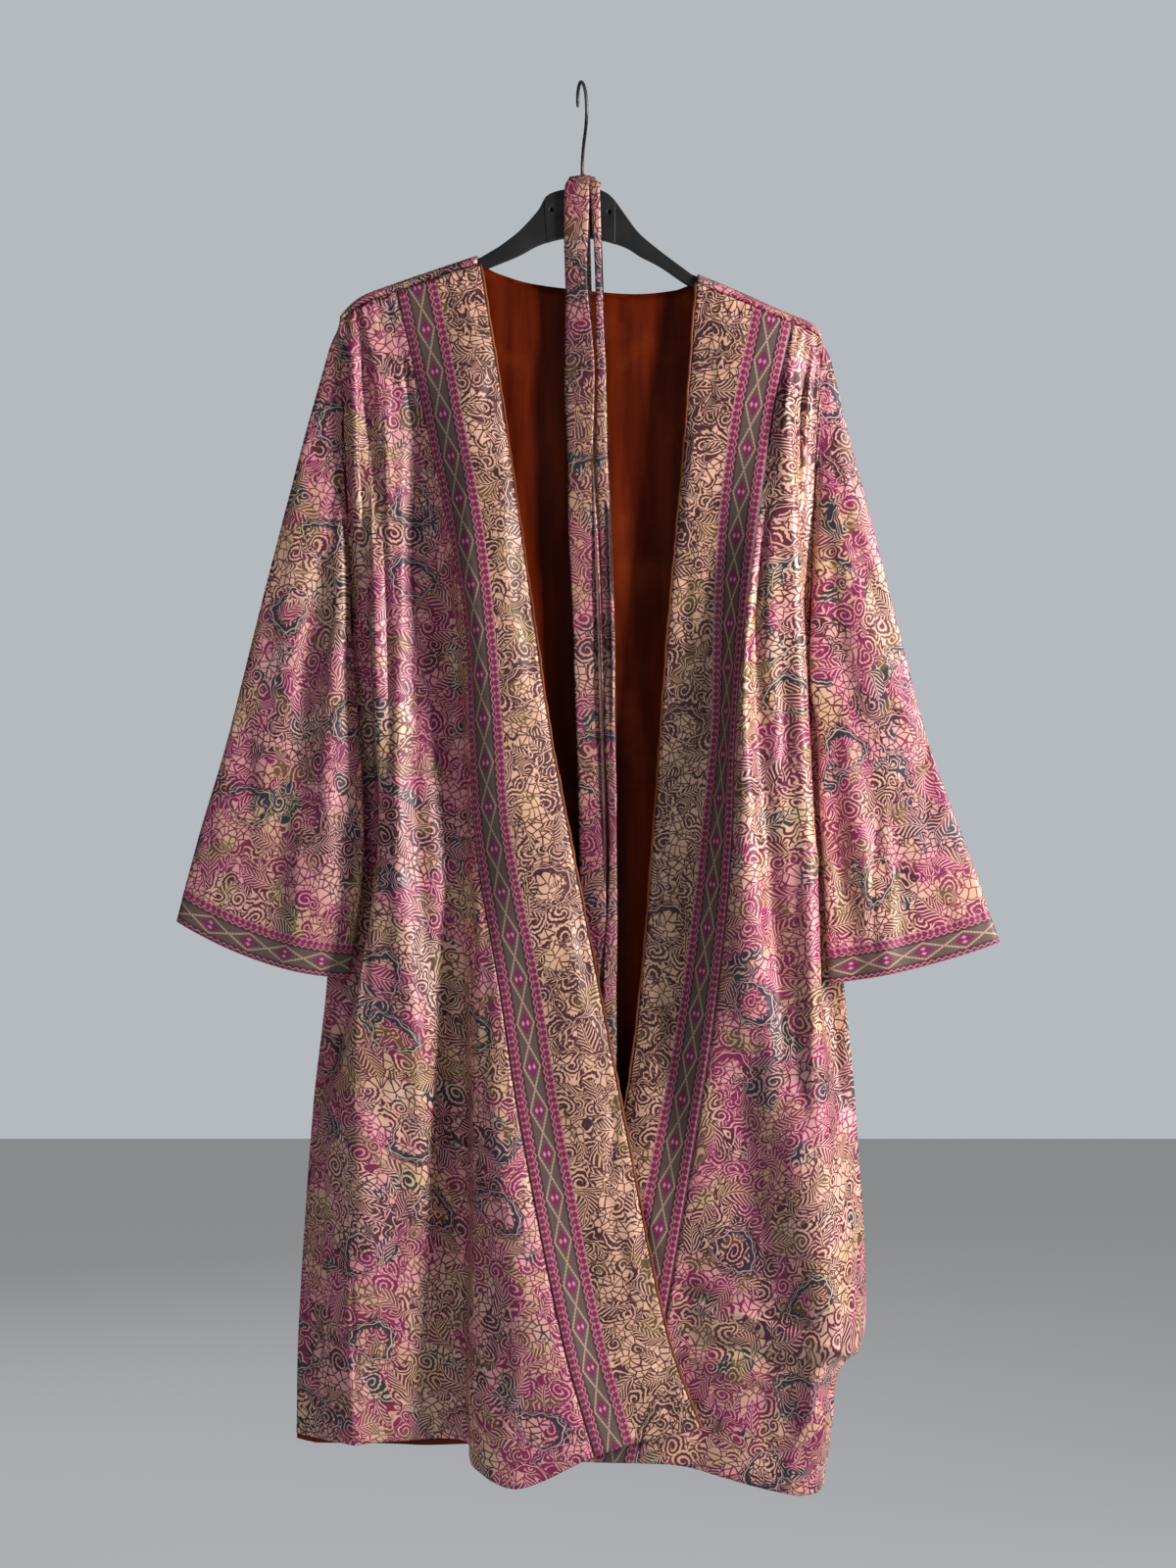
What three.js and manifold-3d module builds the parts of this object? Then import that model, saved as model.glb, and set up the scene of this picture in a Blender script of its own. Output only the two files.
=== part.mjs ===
// An open kimono jacket of printed silk with a rust satin lining and its own belt,
// hanging on a plastic coat hanger. Millimetres, +Z up, the front faces -Y.
// The origin is the inner top of the hanger's hook, so every height is a drop below it.
// Right and left are the wearer's: the right front and sleeve lie at -X.
import * as THREE from 'three';
import { mergeVertices } from 'three/addons/utils/BufferGeometryUtils.js';
import Module from 'manifold-3d';

// ---------- Driving dimensions ----------
const CLOTH = 1.6;            // shell and lining together
const LINING = 1.0;           // satin lining where it is its own layer
const SEAM = 0.5;             // gap between two pieces that are sewn together
const LAYER = 0.6;            // gap between two layers that lie on each other
const SHOULDER_DEPTH = 9;     // half the depth of the cloth over the hanger's arm
const SHOULDER_LAP = 9;       // the back comes over the arm and this far down the front
const ARM_DEPTH = 9;          // thickness of the hanger's plastic
const HOOK_WIRE = 3.2;
const HOOK_RADIUS = 18;       // inside of the hook's bend
const HOOK_TURN = 12;         // degrees that the hook is turned from square to the arms
const HOOK_SEAT = 112;        // drop of the wire's lower end
const PLATE_TOP = 97;         // drop of the top of the hanger's middle
const ROLL = 2.6;             // diameter of the rolled lining edge
const SHOULDER_END = { left: 219, right: -222 };    // x where the back meets the sleeves
const SIDE_HEM = { left: 1284, right: 1243 };       // drop of the hem at each side seam
const ARMHOLE_TOP = { left: 240, right: 225 };      // drop where the side line begins

// ---------- Looks ----------
const PRINT_LOOK = { color: 0xb98a86, roughness: 0.5, metalness: 0 };
const BAND_LOOK = { color: 0xc79b74, roughness: 0.5, metalness: 0 };
const LINING_LOOK = { color: 0x7a2c0c, roughness: 0.4, metalness: 0 };
const PLASTIC_LOOK = { color: 0x151517, roughness: 0.45, metalness: 0 };
const STEEL_LOOK = { color: 0x3c3c40, roughness: 0.35, metalness: 0.9 };

// ---------- Curves through tables ----------
// The value at t of a smooth curve through (knots, values); its slope is the mean slope
// of the two neighbouring stretches, so it never swings wide of the table.
function smooth(knots, values, t) {
  const last = knots.length - 1;
  let i = 0;
  while (i < last - 1 && t > knots[i + 1]) i += 1;
  const slope = (k) => {
    const a = Math.max(k - 1, 0);
    const b = Math.min(k + 1, last);
    return (values[b] - values[a]) / (knots[b] - knots[a]);
  };
  const run = knots[i + 1] - knots[i];
  const f = THREE.MathUtils.clamp((t - knots[i]) / run, 0, 1);
  const g = 1 - f;
  const ends = values[i] * (1 + 2 * f) * g * g + values[i + 1] * (3 - 2 * f) * f * f;
  return ends + run * (slope(i) * f * g * g - slope(i + 1) * f * f * g);
}

const mix = THREE.MathUtils.lerp;
const spread = (count) => Array.from({ length: count + 1 }, (_, i) => i / count);

// ---------- Walls of cloth ----------
// A wall has an outer skin through point(u, v), an inner skin one thickness behind it and
// rims all round. Seen from outside, u runs to the right and v runs down. `has` leaves out
// cells of the grid, and `ring` joins the last column to the first.
function clothWall(point, us, vs, { thickness = CLOTH, ring = false, has = () => true } = {}) {
  const columns = us.length;
  const skin = vs.map((v) => us.map((u) => point(u, v)));
  const step = (i, by) => {
    if (ring) return (i + by + columns) % columns;
    return THREE.MathUtils.clamp(i + by, 0, columns - 1);
  };
  const behind = skin.map((row, j) => row.map((p, i) => {
    const above = skin[Math.max(j - 1, 0)][i];
    const below = skin[Math.min(j + 1, vs.length - 1)][i];
    const down = below.clone().sub(above);
    const along = row[step(i, 1)].clone().sub(row[step(i, -1)]);
    const outward = down.cross(along).normalize();
    return p.clone().addScaledVector(outward, -thickness);
  }));
  const corners = [...skin.flat(), ...behind.flat()];
  const half = skin.flat().length;
  const faces = [];
  const edges = new Set();
  const cellColumns = ring ? columns : columns - 1;
  const addOuter = (a, b, c) => {
    faces.push([a, b, c], [c + half, b + half, a + half]);
    [[a, b], [b, c], [c, a]].forEach(([p, q]) => edges.add(`${p},${q}`));
  };
  for (let j = 0; j < vs.length - 1; j += 1) {
    for (let i = 0; i < cellColumns; i += 1) {
      if (!has(i, j)) continue;
      const a = j * columns + i;
      const b = a + columns;
      const c = b - i + step(i, 1);
      const d = a - i + step(i, 1);
      addOuter(a, b, c);
      addOuter(a, c, d);
    }
  }
  edges.forEach((edge) => {
    const [p, q] = edge.split(',').map(Number);
    if (!edges.has(`${q},${p}`)) faces.push([q, p, p + half], [q, p + half, q + half]);
  });
  return solid(corners, faces);
}

function solid(corners, faces) {
  const geometry = new THREE.BufferGeometry();
  const places = faces.flat().flatMap((corner) => corners[corner].toArray());
  geometry.setAttribute('position', new THREE.Float32BufferAttribute(places, 3));
  return geometry;
}

// ---------- The line of the shoulders ----------
// The top of the cloth over the hanger's arms, from the right sleeve to the left one.
const SHOULDER = {
  x: [-228, -218, -202, -175, -139, -112, -96, -60, 60, 106, 149, 185, 211, 223],
  drop: [216, 207, 195, 184.5, 172, 163, 158, 150, 158, 175, 193, 209, 220, 228],
};
const shoulderDrop = (x) => smooth(SHOULDER.x, SHOULDER.drop, x);

// ---------- The fronts ----------
// Each row is one fold line from the shoulder to the hem. Its x and y are given where it
// leaves the shoulder seam, at each drop in LEVELS, and at its own hem drop.
const LEVELS = [310, 490, 600, 700, 830, 940, 1140];
const RIGHT_FOLDS = [
  { line: 'side seam', hem: 1238,
    x: [-222, -219, -213, -222, -227, -235, -247, -260, -262],
    y: [-9, -10, 0, 2, 2, 2, -1, -4, -4] },
  { line: 'side recess', hem: 1240,
    x: [-219, -214, -205, -194, -190, -209, -239, -243, -244],
    y: [-9, -12, -5, 0, 0, 0, -8, -12, -12] },
  { line: 'side foot', hem: 1242,
    x: [-213, -206, -197, -187, -186, -206, -226, -222, -220],
    y: [-10, -19, -19, -20, -20, -20, -24, -22, -22] },
  { line: 'side ridge', hem: 1243,
    x: [-207, -195, -188, -184, -185, -203, -208, -207, -206],
    y: [-11, -10, -30, -40, -42, -44, -40, -32, -32] },
  { line: 'chest ridge', hem: 1242,
    x: [-199, -183, -175, -173, -170, -175, -178, -188, -187],
    y: [-12, -20, -36, -42, -46, -46, -44, -30, -26] },
  { line: 'chest dip', hem: 1242,
    x: [-190, -166, -149, -145, -142, -143, -145, -152, -152],
    y: [-12, -14, -26, -30, -34, -38, -38, -26, -20] },
  { line: 'trough', hem: 1244,
    x: [-182, -153, -124, -117, -112, -112, -113, -110, -107],
    y: [-12, -13, -16, -16, -17, -17, -16, -13, -12] },
  { line: 'roll foot', hem: 1260,
    x: [-178, -149, -117, -110, -106, -102, -99, -99, -100],
    y: [-12, -14, -18, -18, -20, -26, -34, -40, -40] },
  { line: 'roll', hem: 1279,
    x: [-174, -147, -113, -107, -101, -89, -79, -65, -62],
    y: [-12, -15, -24, -24, -28, -38, -48, -54, -52] },
  { line: 'band seam', hem: 1251,
    x: [-170, -144, -108, -103, -97, -75, -58, -19, 11],
    y: [-12, -17, -34, -36, -34, -46, -50, -50, -40] },
  { line: 'border', hem: 1240,
    x: [-134, -114, -98, -86, -71, -46, -26, 14, 49],
    y: [-13, -28, -50, -50, -50, -52, -52, -48, -38] },
  { line: 'band ridge', hem: 1234,
    x: [-114, -94, -73, -57, -40, -14, 5, 46, 78],
    y: [-13, -31, -52, -52, -52, -54, -54, -46, -38] },
  { line: 'front edge', hem: 1228,
    x: [-94, -71, -45, -29, -10, 15, 36, 76, 107],
    y: [-11, -24, -44, -46, -46, -48, -48, -42, -34] },
];
const LEFT_FOLDS = [
  { line: 'front edge', hem: 1258,
    x: [105, 96, 80, 72, 65, 54, 39, -8, -44],
    y: [-9, -12, -12, -12, -12, -12, -12, -12, -12] },
  { line: 'band ridge', hem: 1261,
    x: [128, 115, 104, 97, 90, 76, 58, 16, -16],
    y: [-11, -16, -16, -18, -20, -20, -18, -16, -15] },
  { line: 'border', hem: 1262,
    x: [154, 136, 126, 121, 109, 93, 78, 41, 13],
    y: [-12, -18, -18, -22, -28, -28, -24, -20, -18] },
  { line: 'band seam', hem: 1262,
    x: [192, 174, 148, 138, 135, 123, 107, 74, 49],
    y: [-13, -22, -40, -50, -50, -44, -36, -26, -22] },
  { line: 'roll', hem: 1264,
    x: [196, 179, 154, 145, 145, 144, 136, 109, 86],
    y: [-13, -23, -44, -54, -55, -48, -34, -30, -26] },
  { line: 'chest dip', hem: 1273,
    x: [200, 186, 168, 163, 165, 165, 163, 154, 127],
    y: [-12, -22, -44, -50, -54, -44, -32, -36, -30] },
  { line: 'chest ridge', hem: 1283,
    x: [204, 192, 183, 184, 188, 189, 191, 196, 167],
    y: [-12, -18, -36, -42, -48, -46, -42, -42, -34] },
  { line: 'side ridge', hem: 1289,
    x: [209, 200, 194, 198, 204, 212, 217, 227, 196],
    y: [-11, -12, -26, -34, -38, -46, -48, -44, -34] },
  { line: 'side foot', hem: 1289,
    x: [213, 205, 198, 202, 208, 216, 229, 243, 211],
    y: [-10, -16, -16, -18, -20, -20, -28, -34, -26] },
  { line: 'side recess', hem: 1288,
    x: [216, 209, 202, 206, 212, 219, 238, 252, 218],
    y: [-9, -11, -5, 0, 0, 0, -8, -20, -14] },
  { line: 'side seam', hem: 1286,
    x: [219, 215, 211, 221, 230, 241, 251, 258, 223],
    y: [-9, -10, 0, 2, 2, 2, -1, -4, -4] },
];

const SHOULDER_SEAM = 1.3 * SEAM;
const frontTop = (x) => shoulderDrop(x) + SHOULDER_LAP + SHOULDER_SEAM;

function foldPlace(fold, v) {
  const top = frontTop(fold.x[0]);
  const knots = [top, ...LEVELS, fold.hem];
  const drop = mix(top, fold.hem, v);
  return new THREE.Vector3(smooth(knots, fold.x, drop), smooth(knots, fold.y, drop), -drop);
}

// A point on a front: `at` is 0 on the first fold line of the table, 1 on the next, and so on.
function frontSurface(folds) {
  const rows = new Map();
  return (at, v) => {
    if (!rows.has(v)) {
      const places = folds.map((fold) => foldPlace(fold, v));
      rows.set(v, new THREE.CatmullRomCurve3(places, false, 'centripetal'));
    }
    return rows.get(v).getPoint(at / (folds.length - 1));
  };
}

// Even steps along the fold lines from one seam to another, each drawn in by half a seam gap.
function foldSteps(first, last, each, trimFirst, trimLast) {
  const count = (last - first) * each;
  const steps = spread(count).map((f) => mix(first, last, f));
  steps[0] += trimFirst;
  steps[count] -= trimLast;
  return steps;
}

const BAND_TRIM = 0.02;      // share of a fold stretch that half a seam gap takes in the band
const FRONT_TRIM = 0.08;     // the same in the front, whose stretch there is shorter
const FRONT_ROWS = 21;
const rightFront = frontSurface(RIGHT_FOLDS);
const leftFront = frontSurface(LEFT_FOLDS);
const RIGHT_BAND_SEAM = 9;
const LEFT_BAND_SEAM = 3;
const frontRows = spread(FRONT_ROWS);

const frontRight = clothWall(
  rightFront, foldSteps(0, RIGHT_BAND_SEAM, 2, 0, FRONT_TRIM), frontRows);
const bandRight = clothWall(
  rightFront, foldSteps(RIGHT_BAND_SEAM, RIGHT_FOLDS.length - 1, 2, BAND_TRIM, 0), frontRows);
const bandLeft = clothWall(
  leftFront, foldSteps(0, LEFT_BAND_SEAM, 2, 0, BAND_TRIM), frontRows);
const frontLeft = clothWall(
  leftFront, foldSteps(LEFT_BAND_SEAM, LEFT_FOLDS.length - 1, 2, FRONT_TRIM, 0), frontRows);

// ---------- The back ----------
// Rows from the shoulder seam over the arm, then down the back. The back's own edge at each
// side follows the side seams of the fronts, and its neck is cut as a shallow scoop.
const NECK = {
  x: [-96, -86, -78, -49, 5, 50, 86, 97, 106],
  drop: [163, 181, 184.5, 190, 192.5, 191.5, 187, 184, 181],
};
const BACK_DROPS = [225, 310, 490, 600, 700, 830, 940, 1140, 1262];
const BACK_FOLDS = [
  { at: 0.00, y: [9, 9, 5, 6, 6, 6, 3, 0, 0] },
  { at: 0.12, y: [9, 11, 14, 12, 14, 18, 22, 20, 20] },
  { at: 0.25, y: [9, 10, 11, 14, 12, 12, 12, 14, 13] },
  { at: 0.36, y: [9, 12, 14, 17, 20, 22, 22, 24, 24] },
  { at: 0.50, y: [9, 11, 12, 12, 13, 13, 14, 14, 14] },
  { at: 0.63, y: [9, 12, 13, 16, 18, 20, 22, 23, 24] },
  { at: 0.76, y: [9, 10, 12, 13, 12, 13, 14, 13, 13] },
  { at: 0.88, y: [9, 11, 14, 13, 15, 19, 21, 20, 20] },
  { at: 1.00, y: [9, 9, 5, 6, 6, 6, 3, 0, 0] },
];
const BACK_HEM = { x: [-262, -245, -200, -100, 0, 100, 180, 223],
  drop: [1243, 1248, 1251, 1252, 1256, 1264, 1276, 1284] };
const sideX = (fold, drop) => {
  const knots = [frontTop(fold.x[0]), ...LEVELS, fold.hem];
  return smooth(knots, fold.x, drop);
};
const rightSide = (drop) => sideX(RIGHT_FOLDS[0], drop);
const leftSide = (drop) => sideX(LEFT_FOLDS[LEFT_FOLDS.length - 1], drop);
const backDepth = (at, drop) => {
  const held = Math.max(drop, ARMHOLE_TOP.right);
  const depths = BACK_FOLDS.map((fold) => smooth(BACK_DROPS, fold.y, held));
  return smooth(BACK_FOLDS.map((fold) => fold.at), depths, at);
};

// The wrap over the arm, row by row: a share of its half depth, and of its fall in front.
const WRAP = [
  { depth: -1.0, fall: 1.0 },
  { depth: -0.9, fall: 0.32 },
  { depth: -0.45, fall: 0.0 },
  { depth: 0.45, fall: 0.0 },
  { depth: 0.9, fall: 0.32 },
];
const WRAP_ROWS = WRAP.length;
const BACK_ROWS = 17;
const BACK_TOP_LAP = 6;      // where the flat of the back begins, below the shoulder line

// `at` runs from the left side (+X) to the right side (-X).
function backPoint(at, v) {
  const shoulderX = mix(SHOULDER_END.left, SHOULDER_END.right, at);
  const inNeck = shoulderX > NECK.x[0] && shoulderX < NECK.x[NECK.x.length - 1];
  const row = v * (WRAP_ROWS + BACK_ROWS);
  if (row < WRAP_ROWS) {
    const wrap = WRAP[Math.round(row)];
    const lap = SHOULDER_LAP - SEAM / 2;
    const drop = shoulderDrop(shoulderX) + lap * wrap.fall;
    return new THREE.Vector3(shoulderX, SHOULDER_DEPTH * wrap.depth, -drop);
  }
  const f = (row - WRAP_ROWS) / BACK_ROWS;
  const top = inNeck
    ? smooth(NECK.x, NECK.drop, shoulderX)
    : shoulderDrop(shoulderX) + BACK_TOP_LAP;
  const guess = mix(top, mix(SIDE_HEM.left, SIDE_HEM.right, at), f);
  const held = Math.max(guess, ARMHOLE_TOP.right);
  const x = mix(leftSide(held), rightSide(held), at);
  const drop = mix(top, smooth(BACK_HEM.x, BACK_HEM.drop, x), f);
  return new THREE.Vector3(x, backDepth(at, drop), -drop);
}

const shoulderAt = (x) => (SHOULDER_END.left - x) / (SHOULDER_END.left - SHOULDER_END.right);
const NECK_LEFT = shoulderAt(NECK.x[NECK.x.length - 1]);
const NECK_RIGHT = shoulderAt(NECK.x[0]);
const BACK_STEPS = { left: 5, neck: 10, right: 6 };     // columns beside and across the neck
const NECK_END = BACK_STEPS.left + BACK_STEPS.neck;
const backColumns = [
  ...spread(BACK_STEPS.left).map((f) => mix(0, NECK_LEFT, f)),
  ...spread(BACK_STEPS.neck).map((f) => mix(NECK_LEFT, NECK_RIGHT, f)).slice(1),
  ...spread(BACK_STEPS.right).map((f) => mix(NECK_RIGHT, 1, f)).slice(1),
];
const backRows = spread(WRAP_ROWS + BACK_ROWS);
const backPanel = clothWall(backPoint, backColumns, backRows, {
  has: (i, j) => j >= WRAP_ROWS || i < BACK_STEPS.left || i >= NECK_END,
});

// ---------- The back lining ----------
const LINING_TOP_LAP = 3;    // below the edge of the back it is sewn to
const LINING_INSET = 0.03;   // share of the back's width left free at each side seam

function liningPoint(at, v) {
  const place = backPoint(at, v);
  const below = (v * (WRAP_ROWS + BACK_ROWS) - WRAP_ROWS) / BACK_ROWS;
  place.y -= CLOTH + LAYER;
  place.z -= LINING_TOP_LAP * (1 - below);
  return place;
}

const liningColumns = backColumns.map((at) => (
  THREE.MathUtils.clamp(at, LINING_INSET, 1 - LINING_INSET)));
const liningRows = backRows.slice(WRAP_ROWS);
const backLining = clothWall(liningPoint, liningColumns, liningRows, { thickness: LINING });

// ---------- The sleeves ----------
// Each row is a section across the flattened sleeve, from the armhole to the cuff: where its
// outer and inner fold lie, how deep half the sleeve is there, and how far the middle hangs.
const RIGHT_SECTIONS = [
  { outerX: -223, outerDrop: 216, outerY: 0, outerHalf: 9,
    innerX: -213, innerDrop: 465, innerY: -1, innerHalf: 3, bow: 0 },
  { outerX: -231, outerDrop: 240, outerY: -1, outerHalf: 8.5,
    innerX: -215.5, innerDrop: 507, innerY: -7, innerHalf: 4, bow: 0 },
  { outerX: -248, outerDrop: 301, outerY: -3, outerHalf: 8,
    innerX: -210, innerDrop: 550, innerY: -10, innerHalf: 5, bow: 0 },
  { outerX: -274, outerDrop: 400, outerY: -6, outerHalf: 8,
    innerX: -204, innerDrop: 597, innerY: -11, innerHalf: 6, bow: 2 },
  { outerX: -299, outerDrop: 499, outerY: -8, outerHalf: 8,
    innerX: -200, innerDrop: 652, innerY: -11, innerHalf: 6, bow: 4 },
  { outerX: -326, outerDrop: 607, outerY: -9, outerHalf: 8,
    innerX: -200, innerDrop: 712, innerY: -11, innerHalf: 6, bow: 7 },
  { outerX: -350, outerDrop: 688, outerY: -10, outerHalf: 9,
    innerX: -205, innerDrop: 766, innerY: -11, innerHalf: 6.5, bow: 9 },
  { outerX: -371, outerDrop: 768, outerY: -10, outerHalf: 9,
    innerX: -213, innerDrop: 820, innerY: -11, innerHalf: 7, bow: 11 },
];
const LEFT_SECTIONS = [
  { outerX: 220, outerDrop: 238, outerY: 0, outerHalf: 9.8,
    innerX: 210, innerDrop: 465, innerY: -1, innerHalf: 3.8, bow: 0 },
  { outerX: 228, outerDrop: 258, outerY: -1, outerHalf: 9.3,
    innerX: 213.5, innerDrop: 507, innerY: -7, innerHalf: 4.8, bow: 0 },
  { outerX: 241, outerDrop: 310, outerY: -3, outerHalf: 8.8,
    innerX: 212, innerDrop: 550, innerY: -10, innerHalf: 5.8, bow: 0 },
  { outerX: 262, outerDrop: 391, outerY: -6, outerHalf: 8.8,
    innerX: 215, innerDrop: 597, innerY: -11, innerHalf: 6.8, bow: 1 },
  { outerX: 289, outerDrop: 499, outerY: -8, outerHalf: 8.8,
    innerX: 217, innerDrop: 652, innerY: -11, innerHalf: 6.8, bow: 2 },
  { outerX: 319, outerDrop: 611, outerY: -9, outerHalf: 8.8,
    innerX: 220, innerDrop: 712, innerY: -11, innerHalf: 6.8, bow: 3 },
  { outerX: 352, outerDrop: 701, outerY: -10, outerHalf: 9.8,
    innerX: 223, innerDrop: 769, innerY: -11, innerHalf: 7.3, bow: 4 },
  { outerX: 382, outerDrop: 787, outerY: -10, outerHalf: 9.8,
    innerX: 226, innerDrop: 825, innerY: -11, innerHalf: 7.8, bow: 5 },
];
// Soft folds that run down a sleeve: where across it, how wide and deep, and from where to
// where along it. A fold with a negative depth is a trough.
const RIGHT_SLEEVE_FOLDS = [
  { at: 0.30, width: 0.13, depth: 4, from: 0.35, to: 1.1 },
  { at: 0.55, width: 0.12, depth: -3, from: 0.2, to: 1.0 },
  { at: 0.78, width: 0.10, depth: 3, from: 0.1, to: 0.9 },
];
const LEFT_SLEEVE_FOLDS = [
  { at: 0.68, width: 0.10, depth: 6, from: 0.5, to: 1.2 },
  { at: 0.86, width: 0.08, depth: -3, from: 0.5, to: 1.1 },
  { at: 0.35, width: 0.14, depth: 3, from: 0.1, to: 0.9 },
];
const SLEEVE_FLATNESS = 0.4;     // 1 is an oval section, 0 a square one
const ARMHOLE_BLEND = 0.16;      // share of the sleeve over which it leaves the armhole
const BACK_FOLD_SHARE = 0.4;     // the sleeve's back takes this share of each fold
const RING_COLUMNS = 26;
const SLEEVE_ROWS = 12;

function sleeveFold(folds, at, v) {
  return folds.reduce((sum, fold) => {
    const across = Math.exp(-(((at - fold.at) / fold.width) ** 2));
    const middle = (fold.from + fold.to) / 2;
    const reach = (fold.to - fold.from) / 2;
    const along = Math.max(0, 1 - ((v - middle) / reach) ** 2);
    return sum + fold.depth * across * along;
  }, 0);
}

// `armhole` gives the body's edge at a drop: its x just outside the seam, and the depths of
// the front and the back there. The sleeve starts on it and soon takes its own section.
function sleeveSurface(sections, folds, armhole, side) {
  const knots = sections.map((_, i) => i / (sections.length - 1));
  const column = (key, v) => smooth(knots, sections.map((section) => section[key]), v);
  return (turn, v) => {
    const angle = side * turn * 2 * Math.PI;
    const at = (1 - Math.cos(angle)) / 2;
    const face = Math.sin(angle);
    const round = Math.sign(face) * Math.abs(face) ** SLEEVE_FLATNESS;
    let drop = mix(column('outerDrop', v), column('innerDrop', v), at);
    drop += column('bow', v) * 4 * at * (1 - at);
    const own = 1 - THREE.MathUtils.smoothstep(v, 0, ARMHOLE_BLEND);
    const seam = armhole(drop);
    const x = mix(mix(column('outerX', v), column('innerX', v), at), seam.x, own);
    const ownMiddle = mix(column('outerY', v), column('innerY', v), at);
    const ownHalf = mix(column('outerHalf', v), column('innerHalf', v), at);
    const middle = mix(ownMiddle, (seam.front + seam.back) / 2, own);
    const half = mix(ownHalf, (seam.back - seam.front) / 2, own);
    const fold = sleeveFold(folds, at, v) * Math.abs(round) * (face > 0 ? -1 : BACK_FOLD_SHARE);
    return new THREE.Vector3(x, middle - half * round + fold, -drop);
  };
}

const ARMHOLE_GAP = 4 * SEAM;
const sideY = (fold, drop) => smooth([frontTop(fold.x[0]), ...LEVELS, fold.hem], fold.y, drop);
const rightArmhole = (drop) => ({
  x: rightSide(Math.max(drop, ARMHOLE_TOP.right)) - ARMHOLE_GAP,
  front: sideY(RIGHT_FOLDS[0], Math.max(drop, ARMHOLE_TOP.right)),
  back: backDepth(1, drop),
});
const leftArmhole = (drop) => ({
  x: leftSide(Math.max(drop, ARMHOLE_TOP.left)) + ARMHOLE_GAP,
  front: sideY(LEFT_FOLDS[LEFT_FOLDS.length - 1], Math.max(drop, ARMHOLE_TOP.left)),
  back: backDepth(0, drop),
});
const ringColumns = Array.from({ length: RING_COLUMNS }, (_, i) => i / RING_COLUMNS);
const sleeveRows = spread(SLEEVE_ROWS);
const sleeveRight = clothWall(
  sleeveSurface(RIGHT_SECTIONS, RIGHT_SLEEVE_FOLDS, rightArmhole, 1),
  ringColumns, sleeveRows, { ring: true });
const sleeveLeft = clothWall(
  sleeveSurface(LEFT_SECTIONS, LEFT_SLEEVE_FOLDS, leftArmhole, -1),
  ringColumns, sleeveRows, { ring: true });

// ---------- Rolled lining edges ----------
const polygon = (radius, sides) => new THREE.Shape(spread(sides).slice(1).map((f) => (
  new THREE.Vector2(radius * Math.cos(f * 2 * Math.PI), radius * Math.sin(f * 2 * Math.PI)))));

function edgeRoll(surface, edge, inside) {
  const centres = spread(FRONT_ROWS).map((v) => {
    const place = surface(edge, v);
    const along = place.clone().sub(surface(inside, v)).normalize();
    const down = surface(edge, Math.min(v + 0.02, 1)).sub(surface(edge, Math.max(v - 0.02, 0)));
    const outward = down.cross(along).normalize();
    if (outward.y > 0) outward.negate();
    return place.addScaledVector(along, ROLL / 2 + SEAM).addScaledVector(outward, -CLOTH / 2);
  });
  return new THREE.ExtrudeGeometry(polygon(ROLL / 2, 6), {
    steps: FRONT_ROWS + 5, extrudePath: new THREE.CatmullRomCurve3(centres),
  });
}

const LAST_RIGHT = RIGHT_FOLDS.length - 1;
const edgeRollRight = edgeRoll(rightFront, LAST_RIGHT, LAST_RIGHT - 0.3);
const edgeRollLeft = edgeRoll(leftFront, 0, 0.3);

// ---------- The hanger ----------
const HANGER_TOP = {
  x: [-76, -58, -41, -33, -22, -10, 10, 20, 29, 41, 53, 72],
  drop: [151, 138.5, 121.5, 106, 99, PLATE_TOP, PLATE_TOP, 99, 106, 122.5, 138, 154],
};
const HANGER_FOOT = {
  x: [109, 94, 72, 53, 40, 20, 0, -20, -40, -58, -76, -94],
  drop: [190, 183, 168, 158, 150, 143.5, 141, 142, 148, 157.5, 165, 172],
};
const ARM_TIPS = { right: -200, left: 200 };
const ARM_SLACK = CLOTH + 0.7;     // cloth and a little air over the arm
const ARM_HEIGHT = 13;
const ARM_ROOTS = { rightTop: -93, leftTop: 100, leftFoot: 122, rightFoot: -110 };
const TIP_OVERHANG = 3;            // the rounded tip past the end of the arm
const TIP_DROP = 9;
const PLATE_HOLES = [{ x: -28, drop: 116 }, { x: 25, drop: 118 }];
const PLATE_HOLE_RADIUS = 1.8;
const HANGER_BEVEL = 1.2;

function hangerOutline() {
  const at = (x, drop) => new THREE.Vector2(x, -drop);
  const armX = (tip, from) => spread(5).map((f) => mix(tip, from, f));
  const line = ({ x, drop }) => x.map((value, i) => at(value, drop[i]));
  const top = (x) => at(x, shoulderDrop(x) + ARM_SLACK);
  const foot = (x) => at(x, shoulderDrop(x) + ARM_SLACK + ARM_HEIGHT);
  return new THREE.Shape([
    ...armX(ARM_TIPS.right, ARM_ROOTS.rightTop).map(top), ...line(HANGER_TOP),
    ...armX(ARM_ROOTS.leftTop, ARM_TIPS.left).map(top),
    at(ARM_TIPS.left + TIP_OVERHANG, shoulderDrop(ARM_TIPS.left) + TIP_DROP),
    ...armX(ARM_TIPS.left, ARM_ROOTS.leftFoot).map(foot), ...line(HANGER_FOOT),
    ...armX(ARM_ROOTS.rightFoot, ARM_TIPS.right).map(foot),
    at(ARM_TIPS.right - TIP_OVERHANG, shoulderDrop(ARM_TIPS.right) + TIP_DROP),
  ]);
}

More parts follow.
